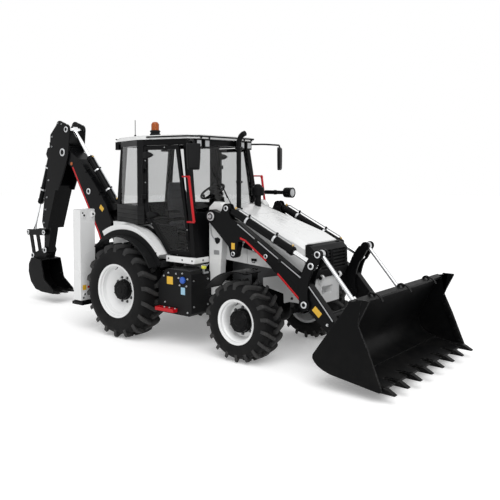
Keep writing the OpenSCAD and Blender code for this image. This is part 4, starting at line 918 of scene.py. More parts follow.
def steeringColumn(look):
    tower, wheel, dials, metal = (bmesh.new() for _ in range(4))
    addLoft(tower, [[(x0, -w + c, z), (x1, -w + c, z), (x1 + c, -w + 2 * c, z), (x1 + c, w - 2 * c, z),
                     (x1, w - c, z), (x0, w - c, z),
                     (x0 - c, w - 2 * c, z), (x0 - c, -w + 2 * c, z)] for x0, x1, w, c, z in (
        (1.01, 1.14, 0.135, 0.02, 1.2325), (1.015, 1.12, 0.1, 0.02, 1.4), (0.995, 1.095, 0.095, 0.02, 1.74),
        (0.985, 1.085, 0.125, 0.02, 1.9), (0.97, 1.07, 0.138, 0.02, 1.99), (0.985, 1.055, 0.134, 0.018, 2.075),
        (1.01, 1.04, 0.11, 0.015, 2.09))])
    centre, axis = Vector(look["wheel"]), Vector(look["axis"])
    turns = [math.tau * k / 12 for k in range(12)]
    profile = [(look["reach"] + look["grip"] * math.cos(t), look["grip"] * math.sin(t)) for t in turns]
    addTurned(wheel, profile + profile[:1], centre, axis, 56)
    place = aimed(centre, axis)
    for k in range(look["spokes"]):
        turn = place @ Matrix.Rotation(math.tau * k / look["spokes"] + 0.5, 4, "Z")
        addLoft(wheel, [[turn @ Vector((r, -w, h - 0.006)), turn @ Vector((r, w, h - 0.006)),
                         turn @ Vector((r, w * 0.8, h + 0.006)),
                         turn @ Vector((r, -w * 0.8, h + 0.006))] for r, w, h in (
            (0.03, 0.03, -0.02), (0.09, 0.022, -0.012), (0.15, 0.018, -0.002), (0.182, 0.02, 0.0))])
    addTurned(wheel, [(0, 0.012), (0.03, 0.01), (0.052, -0.004), (0.056, -0.03), (0.03, -0.045), (0.026, -0.15),
                      (0, -0.15)],
              centre, axis, 32)
    knob = place @ Vector((0, -look["reach"], 0.02))
    addTurned(wheel, [(0, 0.05), (0.016, 0.047), (0.022, 0.035), (0.02, 0.018), (0.009, 0.008), (0.009, -0.01),
                      (0, -0.01)],
              knob, axis, 20)
    for side in (1, -1):
        addTube(wheel, [place @ Vector((0, side * 0.03, -0.07)), place @ Vector((-0.02, side * 0.12, -0.06)),
                        place @ Vector((-0.03, side * 0.165, -0.05))], 0.007, 0.03)
        low, high = sorted((side * 0.17, side * 0.25))
        lean = Matrix.Translation((1.02, 0, 1.31)) @ Matrix.Rotation(math.radians(-38), 4, "Y")
        addBox(metal, (-0.06, low, -0.006), (0.06, high, 0.006), 0.004, 2, lean)
        addTube(metal, [(1.03, side * 0.21, 1.31), (1.08, side * 0.21, 1.3), (1.1, side * 0.21, 1.2327)], 0.01, 0.03)
    face = Matrix.Translation((0.968, 0, 2.035)) @ Matrix.Rotation(math.radians(-58), 4, "Y")
    addBox(dials, (-0.035, -0.105, -0.004), (0.035, 0.105, 0.004), 0.003, 2, face)
    finishPiece(tower, "steeringTower", "blackPlastic", "chassis", 32, ("controls",))
    finishPiece(wheel, "steeringWheel", "sealRubber", "chassis")
    finishPiece(dials, "dashPanel", "dashWarm", "chassis")
    finishPiece(metal, "pedals", "greyPlate", "chassis")


steeringColumn(columnLook)
print("steering column done")


# cab outside: doors, roof rail, lamps, mirrors, beacon, wiper, cowl ribs

doorLook = {"axis": (0.335, 0.862), "turn": math.radians(-5.19), "face": -0.022, "glass": -0.044, "bead": 0.0065,
            "outline": [(0.058, 2.02), (0.058, 2.778), (0.605, 2.778), (0.829, 1.336), (0.487, 1.336), (0.228, 1.69),
                        (0.122, 1.776)]}


def doorDress(hand, side, look):
    place = (Matrix.Translation((look["axis"][0], side * look["axis"][1], 0))
             @ Matrix.Rotation(side * look["turn"], 4, "Z") @ Matrix.Diagonal((1, side, 1, 1)))
    body, face = "door_" + hand, look["face"]
    plastic, beads, steel = bmesh.new(), bmesh.new(), bmesh.new()
    for x0, z, tall in ((0.012, 2.7, 0.05), (0.076, 1.83, 0.045)):  # teardrop hinge covers
        sections = []
        for run, half, depth in ((0.0, 0.9, 0.03), (0.05, 1.0, 0.034), (0.11, 0.78, 0.026), (0.15, 0.45, 0.014),
                                 (0.178, 0.12, 0.004)):
            sections.append([place @ Vector((x0 + run, face + depth * out, z + tall * half * rise)) for out, rise in (
                (-0.03, -1), (0.6, -0.9), (0.95, -0.5), (1, 0), (0.95, 0.5), (0.6, 0.9), (-0.03, 1))])
        addLoft(plastic, sections)
    addBox(plastic, (0.797, face - 0.002, 1.485), (0.832, face + 0.009, 1.655), 0.004, 2, place)
    addTube(plastic, [place @ Vector(p) for p in ((0.815, face, 1.505), (0.815, face + 0.03, 1.515),
                                                  (0.815, face + 0.03, 1.625),
                                                   (0.815, face, 1.635))], 0.009, 0.018)
    addKnob(steel, place @ Vector((0.815, face + 0.009, 1.642)), place.to_3x3() @ Vector((0, 1, 0)), 0.008, 0.004,
            0.001, 16)
    ring = [place @ Vector((x, look["glass"] + 0.004, z)) for x, z in look["outline"]]
    addTube(beads, [(ring[0] + ring[1]) / 2] + ring[1:] + [ring[0], (ring[0] + ring[1]) / 2], look["bead"], 0.03, 1, 4)
    for x, z in ((0.034, 2.3), (0.034, 2.62), (0.4, 2.805), (0.145, 1.7)):
        addBolt(steel, place @ Vector((x, face, z)), place.to_3x3() @ Vector((0, 1, 0)), 0.012)
    finishPiece(plastic, "doorTrim_" + hand, "blackPlastic", body)
    finishPiece(beads, "doorSeal_" + hand, "sealRubber", body)
    finishPiece(steel, "doorScrews_" + hand, "bareSteel", body)


doorDress("left", 1, doorLook)
doorDress("right", -1, doorLook)

roofLook = {"rail": [(0.42, 0.856), (1.12, 0.748), (1.236, 0.61)], "railZ": 2.958, "railR": 0.012,
            "lampX": 1.1766, "lampZ": 2.86, "lampY": (0.395, 0.565), "rearX": -0.63, "rearY": 0.495,
            "ribZ": (1.74, 1.81, 1.88)}


def roofDress(look):
    rail, lens, bezel, ribs, lines = (bmesh.new() for _ in range(5))
    half = look["rail"]
    ring = [(x, y, look["railZ"]) for x, y in half] + [(x, -y, look["railZ"]) for x, y in reversed(half)]
    addTube(rail, [(0.4, 0.835, look["railZ"])] + ring + [(0.4, -0.835, look["railZ"])], look["railR"], 0.05, 3, 6)
    for side in (1, -1):
        for x, y, dx, dy in ((0.62, 0.826, 0.0, -0.03), (0.94, 0.776, 0.0, -0.03), (1.178, 0.68, -0.02, -0.02),
                             (1.236, 0.44, -0.03, 0.0),
                             (1.236, 0.15, -0.03, 0.0)):
            addTube(rail, [(x, side * y, look["railZ"]), (x + dx, side * (y + dy), look["railZ"])], 0.009, 0.01)
        for y in look["lampY"]:
            low, high = side * y - 0.064, side * y + 0.064
            addBox(bezel, (look["lampX"] - 0.004, low, look["lampZ"] - 0.064),
                   (look["lampX"] + 0.008, high, look["lampZ"] + 0.064), 0.006)
            addBox(lens, (look["lampX"] + 0.006, low + 0.022, look["lampZ"] - 0.044),
                   (look["lampX"] + 0.014, high - 0.022, look["lampZ"] + 0.044),
                   0.006, 3)
            addBox(bezel, (look["lampX"] - 0.06, side * y - 0.012, 2.9248), (1.236, side * y + 0.012, 2.956), 0.004)
        low, high = side * look["rearY"] - 0.06, side * look["rearY"] + 0.06
        addBox(bezel, (look["rearX"] - 0.006, low, 2.803), (look["rearX"] + 0.004, high, 2.92), 0.005)
        addBox(lens, (look["rearX"] - 0.012, low + 0.012, 2.815), (look["rearX"] - 0.004, high - 0.012, 2.908), 0.005,
               3)
        addTube(rail, [(-0.55, side * 0.61, 2.962), (-0.66, side * 0.5, 2.962), (-0.66, side * 0.46, 2.962)], 0.01,
                0.03)
        addTube(rail, [(-0.655, side * 0.495, 2.965), (-0.615, side * 0.495, 2.915)], 0.012, 0.01)
    for z in look["ribZ"]:
        addTube(ribs, [(0.33, 0.8405, z), (0.19, 0.8405, z), (-0.6005, 0.5605, z), (-0.6005, -0.5605, z),
                       (0.19, -0.8405, z), (0.33, -0.8405, z)],
                0.0065, 0.03)
    for side in (1, -1):
        addTube(lines, [(-0.5, side * 0.36, 2.9845), (0.98, side * 0.42, 2.9845)], 0.006, 0.02)
        addTube(lines, [(-0.5, side * 0.12, 2.9845), (1.02, side * 0.14, 2.9845)], 0.006, 0.02)
    addTurned(bezel, [(0.062, 0.0), (0.079, 0.0), (0.079, 0.012), (0.068, 0.018), (0.062, 0.012), (0.062, 0.0)],
              (1.846, 0.775, 2.14), (1, 0, 0), 40)
    addTurned(lens, [(0, 0.02), (0.03, 0.018), (0.055, 0.01), (0.064, 0.0), (0.06, -0.002), (0, -0.002)],
              (1.8505, 0.775, 2.14), (1, 0, 0), 40)
    for k in range(10):
        turn = math.tau * k / 10
        addBox(bezel, (1.74, -0.005, 0.07), (1.83, 0.005, 0.0775), 0.002, 1,
               Matrix.Translation((0, 0.775, 2.14)) @ Matrix.Rotation(turn, 4, "X"))
    finishPiece(rail, "roofRail", "blackPaint", "chassis")
    finishPiece(lens, "lampLenses", "lampLens", "chassis")
    finishPiece(bezel, "lampBezels", "blackPlastic", "chassis")
    finishPiece(ribs, "cowlRibs", "blackPlastic", "chassis")
    finishPiece(lines, "roofBeads", "whitePaint", "chassis")


roofDress(roofLook)

mirrorLook = {"root": (1.09, 0.69, 2.885), "tip": (1.4716, 0.98), "turn": 24, "wide": 0.098, "low": 2.482,
              "high": 2.838, "thick": 0.024}


def mirrorPieces(look):
    shell, glass = bmesh.new(), bmesh.new()
    tip = look["tip"]
    for side in (1, -1):
        root = Vector((look["root"][0], side * look["root"][1], look["root"][2]))
        end = Vector((tip[0], side * tip[1], look["high"] - 0.02))
        addTube(shell, [root, root.lerp(end, 0.5) + Vector((0, 0, 0.035)),
                        Vector((tip[0] - 0.01, side * (tip[1] - 0.008), 2.872)), end],
                0.0135, 0.07, 3, 6)
        addKnob(shell, root + Vector((-0.006, 0, 0)), (0.8, side * 0.6, 0), 0.03, 0.03)
        place = (Matrix.Translation((tip[0], side * tip[1], 0)) @ Matrix.Rotation(side * math.radians(look["turn"]),
                                                                                  4, "Z"))
        wide, low, high, thick = look["wide"], look["low"], look["high"], look["thick"]
        rim = [(-0.86, 0.0), (-1, 0.03), (-1, 0.3), (-0.94, 0.7), (-0.84, 0.97), (-0.72, 1), (0.72, 1), (0.84, 0.97),
               (0.94, 0.7), (1, 0.3), (1, 0.03),
               (0.86, 0.0)]
        rim = [(y, 1 - h) for y, h in rim]  # wider at the top
        middle = (low + high) / 2
        addLoft(shell, [[place @ Vector((x, y * wide * grow,
                                         middle + (low + (high - low) * h - middle) * grow)) for y, h in rim]
                        for x, grow in ((-thick, 0.97), (-thick + 0.004, 1.0), (0.004, 1.0), (0.018, 0.9),
                                        (thick + 0.0005, 0.62))])
        addLoft(glass, [[place @ Vector((x, y * wide * 0.9, middle + (low + (high - low) * h - middle) * 0.94)) for y,
                         h in rim]
                        for x in (-thick - 0.001, -thick + 0.002)])
    finishPiece(shell, "mirrorShells", "blackPlastic", "chassis", 40, ("mirrors",))
    finishPiece(glass, "mirrorFaces", "mirrorGlass", "chassis")


mirrorPieces(mirrorLook)

beaconLook = {"centre": (0.06, -0.35), "foot": 2.985, "dome": 3.092, "flutes": 16}


def beaconPieces(look):
    dome, foot = bmesh.new(), bmesh.new()
    x, y = look["centre"]
    addTurned(dome, [(0, 0), (0.057, 0), (0.0575, 0.03), (0.055, 0.034), (0.0575, 0.038), (0.057, 0.07),
                     (0.0545, 0.074), (0.056, 0.078), (0.053, 0.105), (0.044, 0.122), (0.026, 0.131), (0, 0.132)],
              (x, y, look["dome"]), (0, 0, 1), 36)
    for k in range(look["flutes"]):
        turn = Matrix.Translation((x, y, look["dome"])) @ Matrix.Rotation(math.tau * k / look["flutes"], 4, "Z")
        addBox(dome, (0.054, -0.003, 0.004), (0.0595, 0.003, 0.1), 0.0015, 1, turn)
    addTurned(foot, [(0.0, 0.0), (0.078, 0.0), (0.082, 0.05), (0.07, 0.064), (0.07, 0.074), (0.081, 0.086),
                     (0.078, 0.104), (0.064, 0.11), (0.0, 0.11)], (x, y, look["foot"] + 0.0005), (0, 0, 1), 24)
    finishPiece(dome, "beaconDome", "amberLens", "chassis", 40, ("beacon",))
    finishPiece(foot, "beaconSkirt", "blackPlastic", "chassis")


beaconPieces(beaconLook)

wiperLook = {"pivot": (1.227, 0.12, 1.86), "tip": (1.11, -0.2, 2.55)}


def wiperPiece(look):
    bm = bmesh.new()
    pivot, tip = Vector(look["pivot"]), Vector(look["tip"])
    mid = pivot.lerp(tip, 0.62)
    addTurned(bm, [(0, 0.03), (0.014, 0.028), (0.02, 0.012), (0.022, 0.0), (0, 0.0)], pivot, (0.99, 0, 0.14), 20)
    addTube(bm, [pivot + Vector((0.024, 0, 0.003)), pivot.lerp(tip, 0.2) + Vector((0.03, 0, 0)),
                 mid + Vector((0.016, 0, 0))], 0.0065, 0.1)
    low, high = pivot.lerp(tip, 0.3), tip
    addTube(bm, [low + Vector((0.0095, 0, 0)), mid + Vector((0.012, 0, 0)), high + Vector((0.0095, 0, 0))], 0.006, 0.2)
    finishPiece(bm, "wiper", "blackPlastic", "chassis")


wiperPiece(wiperLook)
print("cab outside dressed")

# sill, towers, tanks, steps

sideLook = {"sillFace": 0.83, "sillBolts": [(0.83, 1.225), (1.1, 1.222), (1.29, 1.222)], "towerFace": 0.533,
            "tankFace": 0.93, "tankCap": (1.217, 0.963), "capGrips": 9, "yellow": (0.955, 0.935, 0.118, 0.108),
            "pale": (1.21, 0.81, 0.08, 0.1), "towerCap": (1.5, 1.5), "plateScrews": (1.437, 1.523, 1.307, 1.355),
            "tankBolts": [(1.13, 0.985), (1.3, 0.985), (1.15, 0.885), (1.28, 0.885), (0.84, 0.99), (0.93, 1.04),
                          (1.08, 1.04), (1.2, 1.055), (0.86, 0.62), (0.99, 0.53), (1.3, 0.52)],
            "endBolts": [(0.88, 0.96), (0.88, 0.6), (0.6, 0.96), (0.6, 0.6)],
            "treadRows": 9, "treadBars": 11, "treadStart": (0.925, 0.59), "treadPitch": (0.038, 0.039),
            "stepBolts": (0.88, 0.98, 1.09), "stepBars": 7, "stepPitch": 0.042}


def sideDress(look):
    white, dark, plate, yellow, blue, pale, bright, checker, tubes, lime = (bmesh.new() for _ in range(10))
    for side in (1, -1):
        for x, z in look["sillBolts"]:
            addKnob(dark, (x, side * (look["sillFace"] - 0.001), z), (0, side, 0), 0.0125, 0.006, 0.002, 16)
        low, high = sorted((side * 0.536, side * 0.829))
        addBox(white, (1.3255, low, 1.184), (1.338, high, 1.262), 0.004)
        addKnob(dark, (1.338, side * 0.66, 1.222), (1, 0, 0), 0.0125, 0.005, 0.002, 16)
        tower = side * look["towerFace"]
        capX, capZ = look["towerCap"]
        addTurned(dark, [(0, 0.026), (0.03, 0.024), (0.04, 0.012), (0.042, 0), (0, 0)], (capX, tower, capZ),
                  (0, side, 0), 24)
        for k in range(3):
            turn = math.tau * k / 3 + 0.4
            addTurned(dark, [(0, 0.022), (0.012, 0.02), (0.016, 0.008), (0.016, 0), (0, 0)],
                      (capX + 0.034 * math.cos(turn), tower, capZ + 0.034 * math.sin(turn)), (0, side, 0), 14)
        addTube(tubes, [(1.46, tower + side * 0.008, 1.51), (1.4, tower + side * 0.01, 1.56),
                        (1.375, tower + side * 0.01, 1.66), (1.375, tower + side * 0.01, 1.86)], 0.007, 0.05)
        low, high = sorted((tower, tower + side * 0.003))
        addBox(plate, (1.43, low, 1.3), (1.53, high, 1.362), 0.001, 1)
        left, right, foot, head = look["plateScrews"]
        for x, z in ((left, foot), (right, foot), (left, head), (right, head)):
            addKnob(bright, (x, tower + side * 0.003, z), (0, side, 0), 0.004, 0.002, 0.0005, 10)
        addKnob(dark, (1.47, side * 0.6555, 1.84), (0, side, 0), 0.0445, 0.006, 0.003, 32)
        tank = look["tankFace"]
        addLabel(yellow, *look["yellow"], tank, side)
        capX, capZ = look["tankCap"]
        addTurned(blue, [(0, 0.036), (0.03, 0.035), (0.036, 0.03), (0.044, 0.028), (0.046, 0.004), (0.04, 0), (0, 0)],
                  (capX, side * tank, capZ), (0, side, 0), 26)
        capPlace = Matrix.Translation((capX, side * (tank + 0.016), capZ))
        for k in range(look["capGrips"]):
            turn = capPlace @ Matrix.Rotation(math.tau * k / look["capGrips"], 4, "Y")
            addBox(blue, (0.042, -0.01, -0.005), (0.05, 0.01, 0.005), 0.002, 1, turn)
        addLabel(pale, *look["pale"], tank, side)
        for x, z in look["tankBolts"]:
            addBolt(bright, (x, side * tank, z), (0, side, 0), 0.02)
        for y, z in look["endBolts"]:
            addBolt(bright, (1.37, side * y, z), (1, 0, 0), 0.022)
        low, high = sorted((side * 0.57, side * 0.915))
        addBox(checker, (0.905, low, 1.0902), (1.325, high, 1.0945), 0.0015, 1)
        startX, startY = look["treadStart"]
        pitchX, pitchY = look["treadPitch"]
        for row in range(look["treadRows"]):
            for k in range(look["treadBars"]):
                x, y = startX + k * pitchX + (row % 2) * 0.012, side * (startY + row * pitchY)
                lean = Matrix.Rotation(math.radians(45 if (row + k) % 2 else -45), 4, "Z")
                addBox(checker, (-0.012, -0.003, 0), (0.012, 0.003, 0.0025), 0.001, 1,
                       Matrix.Translation((x, y, 1.0943)) @ lean)
        for x in look["stepBolts"]:
            addBolt(bright, (x, side * 0.965, 0.555), (0, 0, 1), 0.022)
        low, high = sorted((side * 0.985, side * 1.005))
        for k in range(look["stepBars"]):
            addBox(dark, (0.82 + k * look["stepPitch"], low, 0.5545), (0.845 + k * look["stepPitch"], high, 0.557),
                   0.001, 1)
        addTurned(lime, [(0, 0.034), (0.03, 0.032), (0.036, 0.026), (0.036, 0.004), (0.03, 0.0), (0, 0)],
                  (1.405, side * 0.72, 1.12), (0.2, 0, 1), 20)
        addTube(tubes, [(1.375, side * 0.6, 1.05), (1.375, side * 0.7, 1.05), (1.4, side * 0.72, 1.08),
                        (1.405, side * 0.72, 1.122)], 0.016, 0.05)
        for k in range(3):
            y = side * (0.62 + k * 0.04)
            addTube(tubes, [(1.32, y, 1.08 + k * 0.012), (1.35, y, 1.13 + k * 0.012), (1.35, y - side * 0.06, 1.16)],
                    0.009, 0.03)
        spot = Matrix.Translation((0.66, side * 0.93, 1.3)) @ Matrix.Rotation(math.radians(4), 4, "Y")
        low, high = sorted((0.0, side * 0.0015))
        addBox(dark, (-0.028, low, -0.009), (0.028, high, 0.009), 0.0006, 1, spot)
    finishPiece(white, "sillFront", "whitePaint", "chassis")
    finishPiece(dark, "sideCaps", "blackPlastic", "chassis")
    finishPiece(plate, "towerPlates", "greyPlate", "chassis")
    finishPiece(yellow, "tankLabels", "yellowLabel", "chassis")
    finishPiece(blue, "tankCaps", "blueCap", "chassis")
    finishPiece(pale, "tankPaleLabels", "paleLabel", "chassis")
    finishPiece(bright, "tankBolts", "bareSteel", "chassis")
    finishPiece(checker, "tankTreads", "treadPlate", "chassis")
    finishPiece(tubes, "sideTubes", "zincTube", "chassis")
    finishPiece(lime, "fillerCaps", "limeCap", "chassis")


sideDress(sideLook)
print("sills, towers and tanks dressed")


# bonnet, stacks, front end

frontLook = {"ridge": [(1.96, 1.8648), (2.69, 1.6262)], "stack": (1.72, -0.335), "bowl": (1.64, 0.2),
             "lampArm": (1.34, 0.775, 2.14), "pressed": (-0.24, -0.12, 0.12, 0.24),
             "latches": [(2.02, 1.26), (2.45, 1.235)],
             "weightBolts": [(2.6, 0.78), (2.6, 1.03), (2.9, 0.78), (2.9, 1.03), (2.75, 1.03)],
             "stackBands": (1.93, 2.3, 2.775), "bowlBands": (2.116, 2.15, 2.185)}


def frontDress(look):
    white, dark, steel, sleeve = (bmesh.new() for _ in range(4))
    (backX, backZ), (noseX, noseZ) = look["ridge"]
    for y in look["pressed"]:  # pressed lines along the hood
        addTube(white, [(backX + 0.06, y, backZ - 0.0215), (noseX - 0.04, y, noseZ + 0.011)], 0.006, 0.02)
    for side in (1, -1):
        for x, z in look["latches"]:
            low, high = sorted((side * 0.4245, side * 0.44))
            addBox(dark, (x, low, z - 0.012), (x + 0.09, high, z + 0.02), 0.005)
            addTube(dark, [(x + 0.02, side * 0.438, z + 0.005), (x + 0.02, side * 0.446, z - 0.03),
                           (x + 0.07, side * 0.446, z - 0.03), (x + 0.07, side * 0.438, z + 0.005)], 0.005, 0.02)
        for x, z in look["weightBolts"]:
            addBolt(steel, (x, side * 0.3, z), (0, side, 0), 0.03)
        addTube(dark, [(3.032, side * 0.02, 1.19), (3.0335, side * 0.02, 1.3), (3.024, side * 0.02, 1.44)], 0.006, 0.02)
        low, high = sorted((side * 0.3, side * 0.38))
        addBox(dark, (2.884, low, 1.5155), (2.93, high, 1.524), 0.003)
    x, y = look["stack"]
    addTube(sleeve, [(x, y, 2.78), (x, y, 2.872), (x + 0.036, y, 2.945), (x + 0.075, y, 2.975), (x + 0.11, y, 2.985)],
            0.038, 0.05, 5, 6)
    for z in look["stackBands"]:
        addRing(sleeve, (x, y, z), (0, 0, 1), 0.041, 0.031, 0.03, 0.004, 32)
        addBox(sleeve, (x + 0.034, y - 0.012, z + 0.003), (x + 0.062, y + 0.012, z + 0.027), 0.004)
        addBolt(steel, (x + 0.048, y - 0.012, z + 0.015), (0, -1, 0), 0.016)
    x, y = look["bowl"]
    for z in look["bowlBands"]:
        addRing(sleeve, (x, y, z), (0, 0, 1), 0.0945, 0.088, 0.012, 0.003, 36)
    addTurned(sleeve, [(0, 0.03), (0.03, 0.028), (0.045, 0.015), (0.062, 0.0), (0, 0.0)], (x, y, 2.2485), (0, 0, 1), 32)
    addRing(sleeve, (x, y, 1.99), (0, 0, 1), 0.054, 0.046, 0.03, 0.004, 32)
    addTurned(sleeve, [(0, 0), (0.027, 0), (0.031, 0.006), (0.031, 0.17), (0.037, 0.176), (0.037, 0.21),
                       (0.03, 0.216), (0.027, 0.37), (0, 0.374)],
              look["lampArm"], (1, 0, 0), 28)  # sleeve on the head lamp's arm
    finishPiece(white, "hoodLines", "whitePaint", "hood")
    finishPiece(dark, "hoodLatches", "blackPlastic", "hood")
    finishPiece(steel, "frontBolts", "darkSteel", "chassis")
    finishPiece(sleeve, "stackTrim", "blackPaint", "chassis")


frontDress(frontLook)

# grab rail grips and mud panels between the rear fenders and the tanks

gripLook = {"low": (1.3233, 0.825, 1.775), "high": (1.2319, 0.825, 2.375), "radius": 0.0185}


def gripPieces(look):
    grips, panels = bmesh.new(), bmesh.new()
    for side in (1, -1):
        low, high = (Vector((p[0], side * p[1], p[2])) for p in (look["low"], look["high"]))
        addTube(grips, [low, high], look["radius"], 0.02, 4)
        for end in (low, high):
            addTurned(grips, [(0.012, -0.012), (0.0215, -0.01), (0.0215, 0.01), (0.012, 0.012), (0.012, -0.012)], end,
                      high - low, 20)
        addPlate(panels, [(0.665, 1.178), (0.785, 1.178), (0.8, 1.165), (0.8, 1.1), (0.775, 1.097), (0.742, 1.097)],
                 side * 0.7, side * 0.924, 0.006)
        for x, z in ((0.715, 1.16), (0.782, 1.12)):
            addBolt(panels, (x, side * 0.924, z), (0, side, 0), 0.018)
    finishPiece(grips, "railGrips", "redPaint", "chassis")
    finishPiece(panels, "mudPanels", "blackPlastic", "chassis")


gripPieces(gripLook)

# stabilisers and rear frame

legLook = {"x": (-0.97, -0.79), "y": (0.855, 1.13), "high": 1.87, "pins": (1.78, 0.55), "pinY": 1.06,
           "lug": [(-0.0005, 1.845), (0.06, 1.83), (0.075, 1.8), (0.06, 1.77), (-0.0005, 1.75)],
           "rearLug": [(0.0005, 0.8), (-0.05, 0.78), (-0.05, 0.7), (0.0005, 0.68)],
           "bolts": [(0.5, 0.024), (1.82, 0.02)], "ribs": 4, "ribGap": 0.078}  # bolts: z, size


def legDress(look):
    dark, steel, yellow, red, white = (bmesh.new() for _ in range(5))
    x0, x1 = look["x"]
    for hand, side in (("left", 1), ("right", -1)):
        for z in look["pins"]:
            addRing(white, (x1 - 0.0005, side * look["pinY"], z), (1, 0, 0), 0.036, 0.018, 0.008, 0.002, 24)
            addKnob(dark, (x1 - 0.001, side * look["pinY"], z), (1, 0, 0), 0.018, 0.006, 0.001, 20)
        addPlate(white, [(x1 + x, z) for x, z in look["lug"]], side * 0.9, side * 0.916)
        addRing(dark, (x1 + 0.042, side * 0.916, 1.8), (0, side, 0), 0.02, 0.008, 0.006, 0.002, 18)
        addPlate(white, [(x0 + x, z) for x, z in look["rearLug"]], side * 0.99, side * 1.006)
        addKnob(red, (x1 - 0.0005, side * 0.99, 0.66), (1, 0, 0), 0.02, 0.004, 0.001, 20)
        low, high = sorted((side * 1.03, side * 1.1))
        addBox(yellow, (x1 - 0.0005, low, 0.62), (x1 + 0.001, high, 0.7), 0.0004, 1)
        for y in (0.9, 1.085):
            for z, size in look["bolts"]:
                addBolt(steel, (x1, side * y, z), (1, 0, 0), size)
        low, high = sorted((side * (look["y"][0] + 0.004), side * (look["y"][1] - 0.004)))
        addBox(white, (x0 + 0.004, low, look["high"] - 0.001), (x1 - 0.004, high, look["high"] + 0.006), 0.003)
        foot = bmesh.new()
        for k in range(look["ribs"]):
            y = side * (0.875 + k * look["ribGap"])
            addBox(foot, (x0 - 0.01, y - 0.016, 0.438), (x1 + 0.03, y + 0.016, 0.4515), 0.004)
        addRing(foot, (-0.88, side * 0.9925, 0.4395), (0, 0, 1), 0.06, 0.04, 0.012, 0.003, 28)
        finishPiece(foot, "footRibs_" + hand, "blackPaint", "stabiliser_" + hand)
    finishPiece(white, "legLugs", "whitePaint", "chassis")
    finishPiece(dark, "legPins", "blackPaint", "chassis")
    finishPiece(steel, "legBolts", "darkSteel", "chassis")
    finishPiece(yellow, "legLabels", "yellowLabel", "chassis")
    finishPiece(red, "legDots", "redPaint", "chassis")


legDress(legLook)

# hoe bucket: edge, tooth adapters, pin collars

hoeLook = {"rim": 0.012, "collar": (0.054, 0.03), "rocker": (0.042, 0.02),  # lip bar radius, ring radii
           "pins": [(-3.25, 0.97), (-3.65, 0.84)], "rockerPins": [(-3.24, 1.31), (-3.76, 1.29)],
           "lip": [(-2.85, 0.251), (-3.13, 0.432), (-3.228, 0.79)],
           "lipBolts": [(-3.02, 0.3), (-3.14, 0.38), (-3.2, 0.5)],
           "adapter": [(-2.99, 0.02, 0.214, 0.006), (-2.93, 0.031, 0.214, 0.018), (-2.84, 0.032, 0.212, 0.02),
                       (-2.8, 0.026, 0.208, 0.014)]}  # x, half width, foot, thickness


def hoeDress(look):
    edge, collars, link = bmesh.new(), bmesh.new(), bmesh.new()
    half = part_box("hoe_bucket")[1].y
    for side in (1, -1):
        for x, z in look["pins"]:
            addRing(collars, (x, side * 0.108, z), (0, side, 0), *look["collar"], 0.011)
        addTube(edge, [(x, side * (half - 0.009), z) for x, z in look["lip"]], look["rim"], 0.06)
        for x, z in look["lipBolts"]:
            addBolt(edge, (x, side * (half - 0.018), z), (0, -side, 0), 0.028)
        for x, z in look["rockerPins"]:
            addRing(link, (x, side * 0.133, z), (0, side, 0), *look["rocker"], 0.009)
    for y in (-half + 0.05, 0.0, half - 0.05):
        addLoft(edge, [[(x, y - w, z), (x, y + w, z), (x, y + w, z + t), (x, y - w, z + t)]
                       for x, w, z, t in look["adapter"]])
        addBolt(edge, (-2.89, y, 0.23), (0, 0, 1), 0.024)
    addBox(edge, (-2.97, -half + 0.02, 0.2085), (-2.835, half - 0.02, 0.2145), 0.003)
    finishPiece(edge, "hoeBucketEdge", "bucketPaint", "hoe_bucket")
    finishPiece(collars, "hoeBucketCollars", "bareSteel", "hoe_bucket")
    finishPiece(link, "rockerCollars", "bareSteel", "rocker")


hoeDress(hoeLook)
print("bonnet, stabilisers and hoe bucket dressed")


# studio: camera at the photograph's place, pale floor, soft light

studioLook = {"yaw": 0.6726, "pitch": 0.0444, "place": (7.506, -7.350, 2.453), "focal": 652.98, "shiftY": -0.098,
              "sky": 0.62, "key": 1.5, "fill": 150.0}


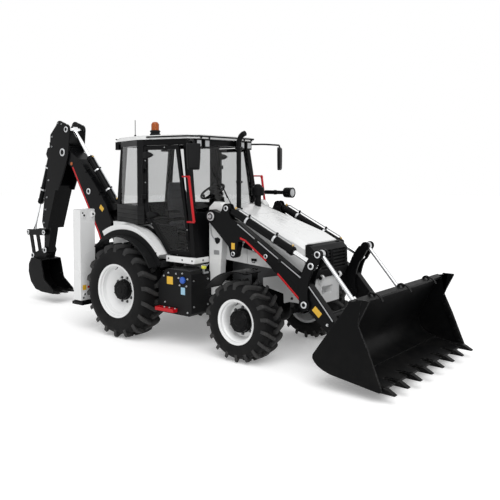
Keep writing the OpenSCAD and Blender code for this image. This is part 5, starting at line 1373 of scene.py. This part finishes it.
def buildStudio(look):
    yaw, pitch = look["yaw"], look["pitch"]
    ahead = Vector((-math.sin(yaw) * math.cos(pitch), math.cos(yaw) * math.cos(pitch), -math.sin(pitch)))
    right = Vector((math.cos(yaw), math.sin(yaw), 0))
    up = right.cross(ahead)
    lens = bpy.data.cameras.new("camera")
    camera = bpy.data.objects.new("camera", lens)
    bpy.context.scene.collection.objects.link(camera)
    camera.matrix_world = Matrix((
        (right.x, up.x, -ahead.x, look["place"][0] - midX), (right.y, up.y, -ahead.y, look["place"][1]),
        (right.z, up.z, -ahead.z, look["place"][2]), (0, 0, 0, 1)))
    lens.sensor_width = 36
    lens.lens = look["focal"] / 500 * 36
    lens.shift_y = look["shiftY"]
    lens.clip_end = 200
    bpy.context.scene.camera = camera
    bpy.context.scene.view_settings.view_transform = "Standard"
    world = bpy.data.worlds.new("studio")
    bpy.context.scene.world = world
    world.use_nodes = True
    tree = world.node_tree
    sky = tree.nodes["Background"]
    sky.inputs["Strength"].default_value = look["sky"]
    white = addNode(tree, "ShaderNodeBackground", {"Strength": 1.0})
    white.inputs["Color"].default_value = (1, 1, 1, 1)
    sky.inputs["Color"].default_value = (1, 1, 1, 1)
    path = addNode(tree, "ShaderNodeLightPath")
    seen = addNode(tree, "ShaderNodeMath", operation="MAXIMUM")
    through = addNode(tree, "ShaderNodeMath", operation="MAXIMUM")
    mix = addNode(tree, "ShaderNodeMixShader")
    tree.links.new(path.outputs["Is Camera Ray"], seen.inputs[0])
    tree.links.new(path.outputs["Is Glossy Ray"], seen.inputs[1])
    tree.links.new(seen.outputs["Value"], through.inputs[0])
    tree.links.new(path.outputs["Is Transmission Ray"], through.inputs[1])
    tree.links.new(through.outputs["Value"], mix.inputs["Fac"])
    tree.links.new(sky.outputs["Background"], mix.inputs[1])
    tree.links.new(white.outputs["Background"], mix.inputs[2])
    tree.links.new(mix.outputs["Shader"], tree.nodes["World Output"].inputs["Surface"])
    key = bpy.data.lights.new("key", "SUN")
    key.energy = look["key"]
    key.angle = math.radians(50)
    keyLamp = bpy.data.objects.new("key", key)
    bpy.context.scene.collection.objects.link(keyLamp)
    keyLamp.matrix_world = aimed((4, -6, 9), Vector((0.42, -0.5, 0.85)))
    fill = bpy.data.lights.new("fill", "AREA")
    fill.energy = look["fill"]
    fill.size = 5
    fillLamp = bpy.data.objects.new("fill", fill)
    bpy.context.scene.collection.objects.link(fillLamp)
    fillLamp.matrix_world = aimed((9, -5, 4.5), Vector((0.8, -0.5, 0.4)))
    floorMesh = bpy.data.meshes.new("floor")
    bm = bmesh.new()
    bmesh.ops.create_circle(bm, cap_ends=True, segments=96, radius=60)
    bm.to_mesh(floorMesh)
    bm.free()
    floor = bpy.data.objects.new("floor", floorMesh)
    bpy.context.scene.collection.objects.link(floor)
    pale = bpy.data.materials.new("paleFloor")
    pale.use_nodes = True
    tree = pale.node_tree
    shader = tree.nodes["Principled BSDF"]
    shader.inputs["Base Color"].default_value = (0.92, 0.92, 0.92, 1)
    shader.inputs["Roughness"].default_value = 0.9
    shader.inputs["Specular IOR Level"].default_value = 0.0
    path = addNode(tree, "ShaderNodeLightPath")
    seen = addNode(tree, "ShaderNodeMath", operation="MAXIMUM")
    through = addNode(tree, "ShaderNodeMath", operation="MAXIMUM")
    lift = addNode(tree, "ShaderNodeMath", {1: 0.22}, operation="MULTIPLY")
    tree.links.new(path.outputs["Is Camera Ray"], seen.inputs[0])
    tree.links.new(path.outputs["Is Glossy Ray"], seen.inputs[1])
    tree.links.new(seen.outputs["Value"], through.inputs[0])
    tree.links.new(path.outputs["Is Transmission Ray"], through.inputs[1])
    tree.links.new(through.outputs["Value"], lift.inputs[0])
    shader.inputs["Emission Color"].default_value = (1, 1, 1, 1)
    tree.links.new(lift.outputs["Value"], shader.inputs["Emission Strength"])
    floorMesh.materials.append(pale)


buildStudio(studioLook)
print("studio done")
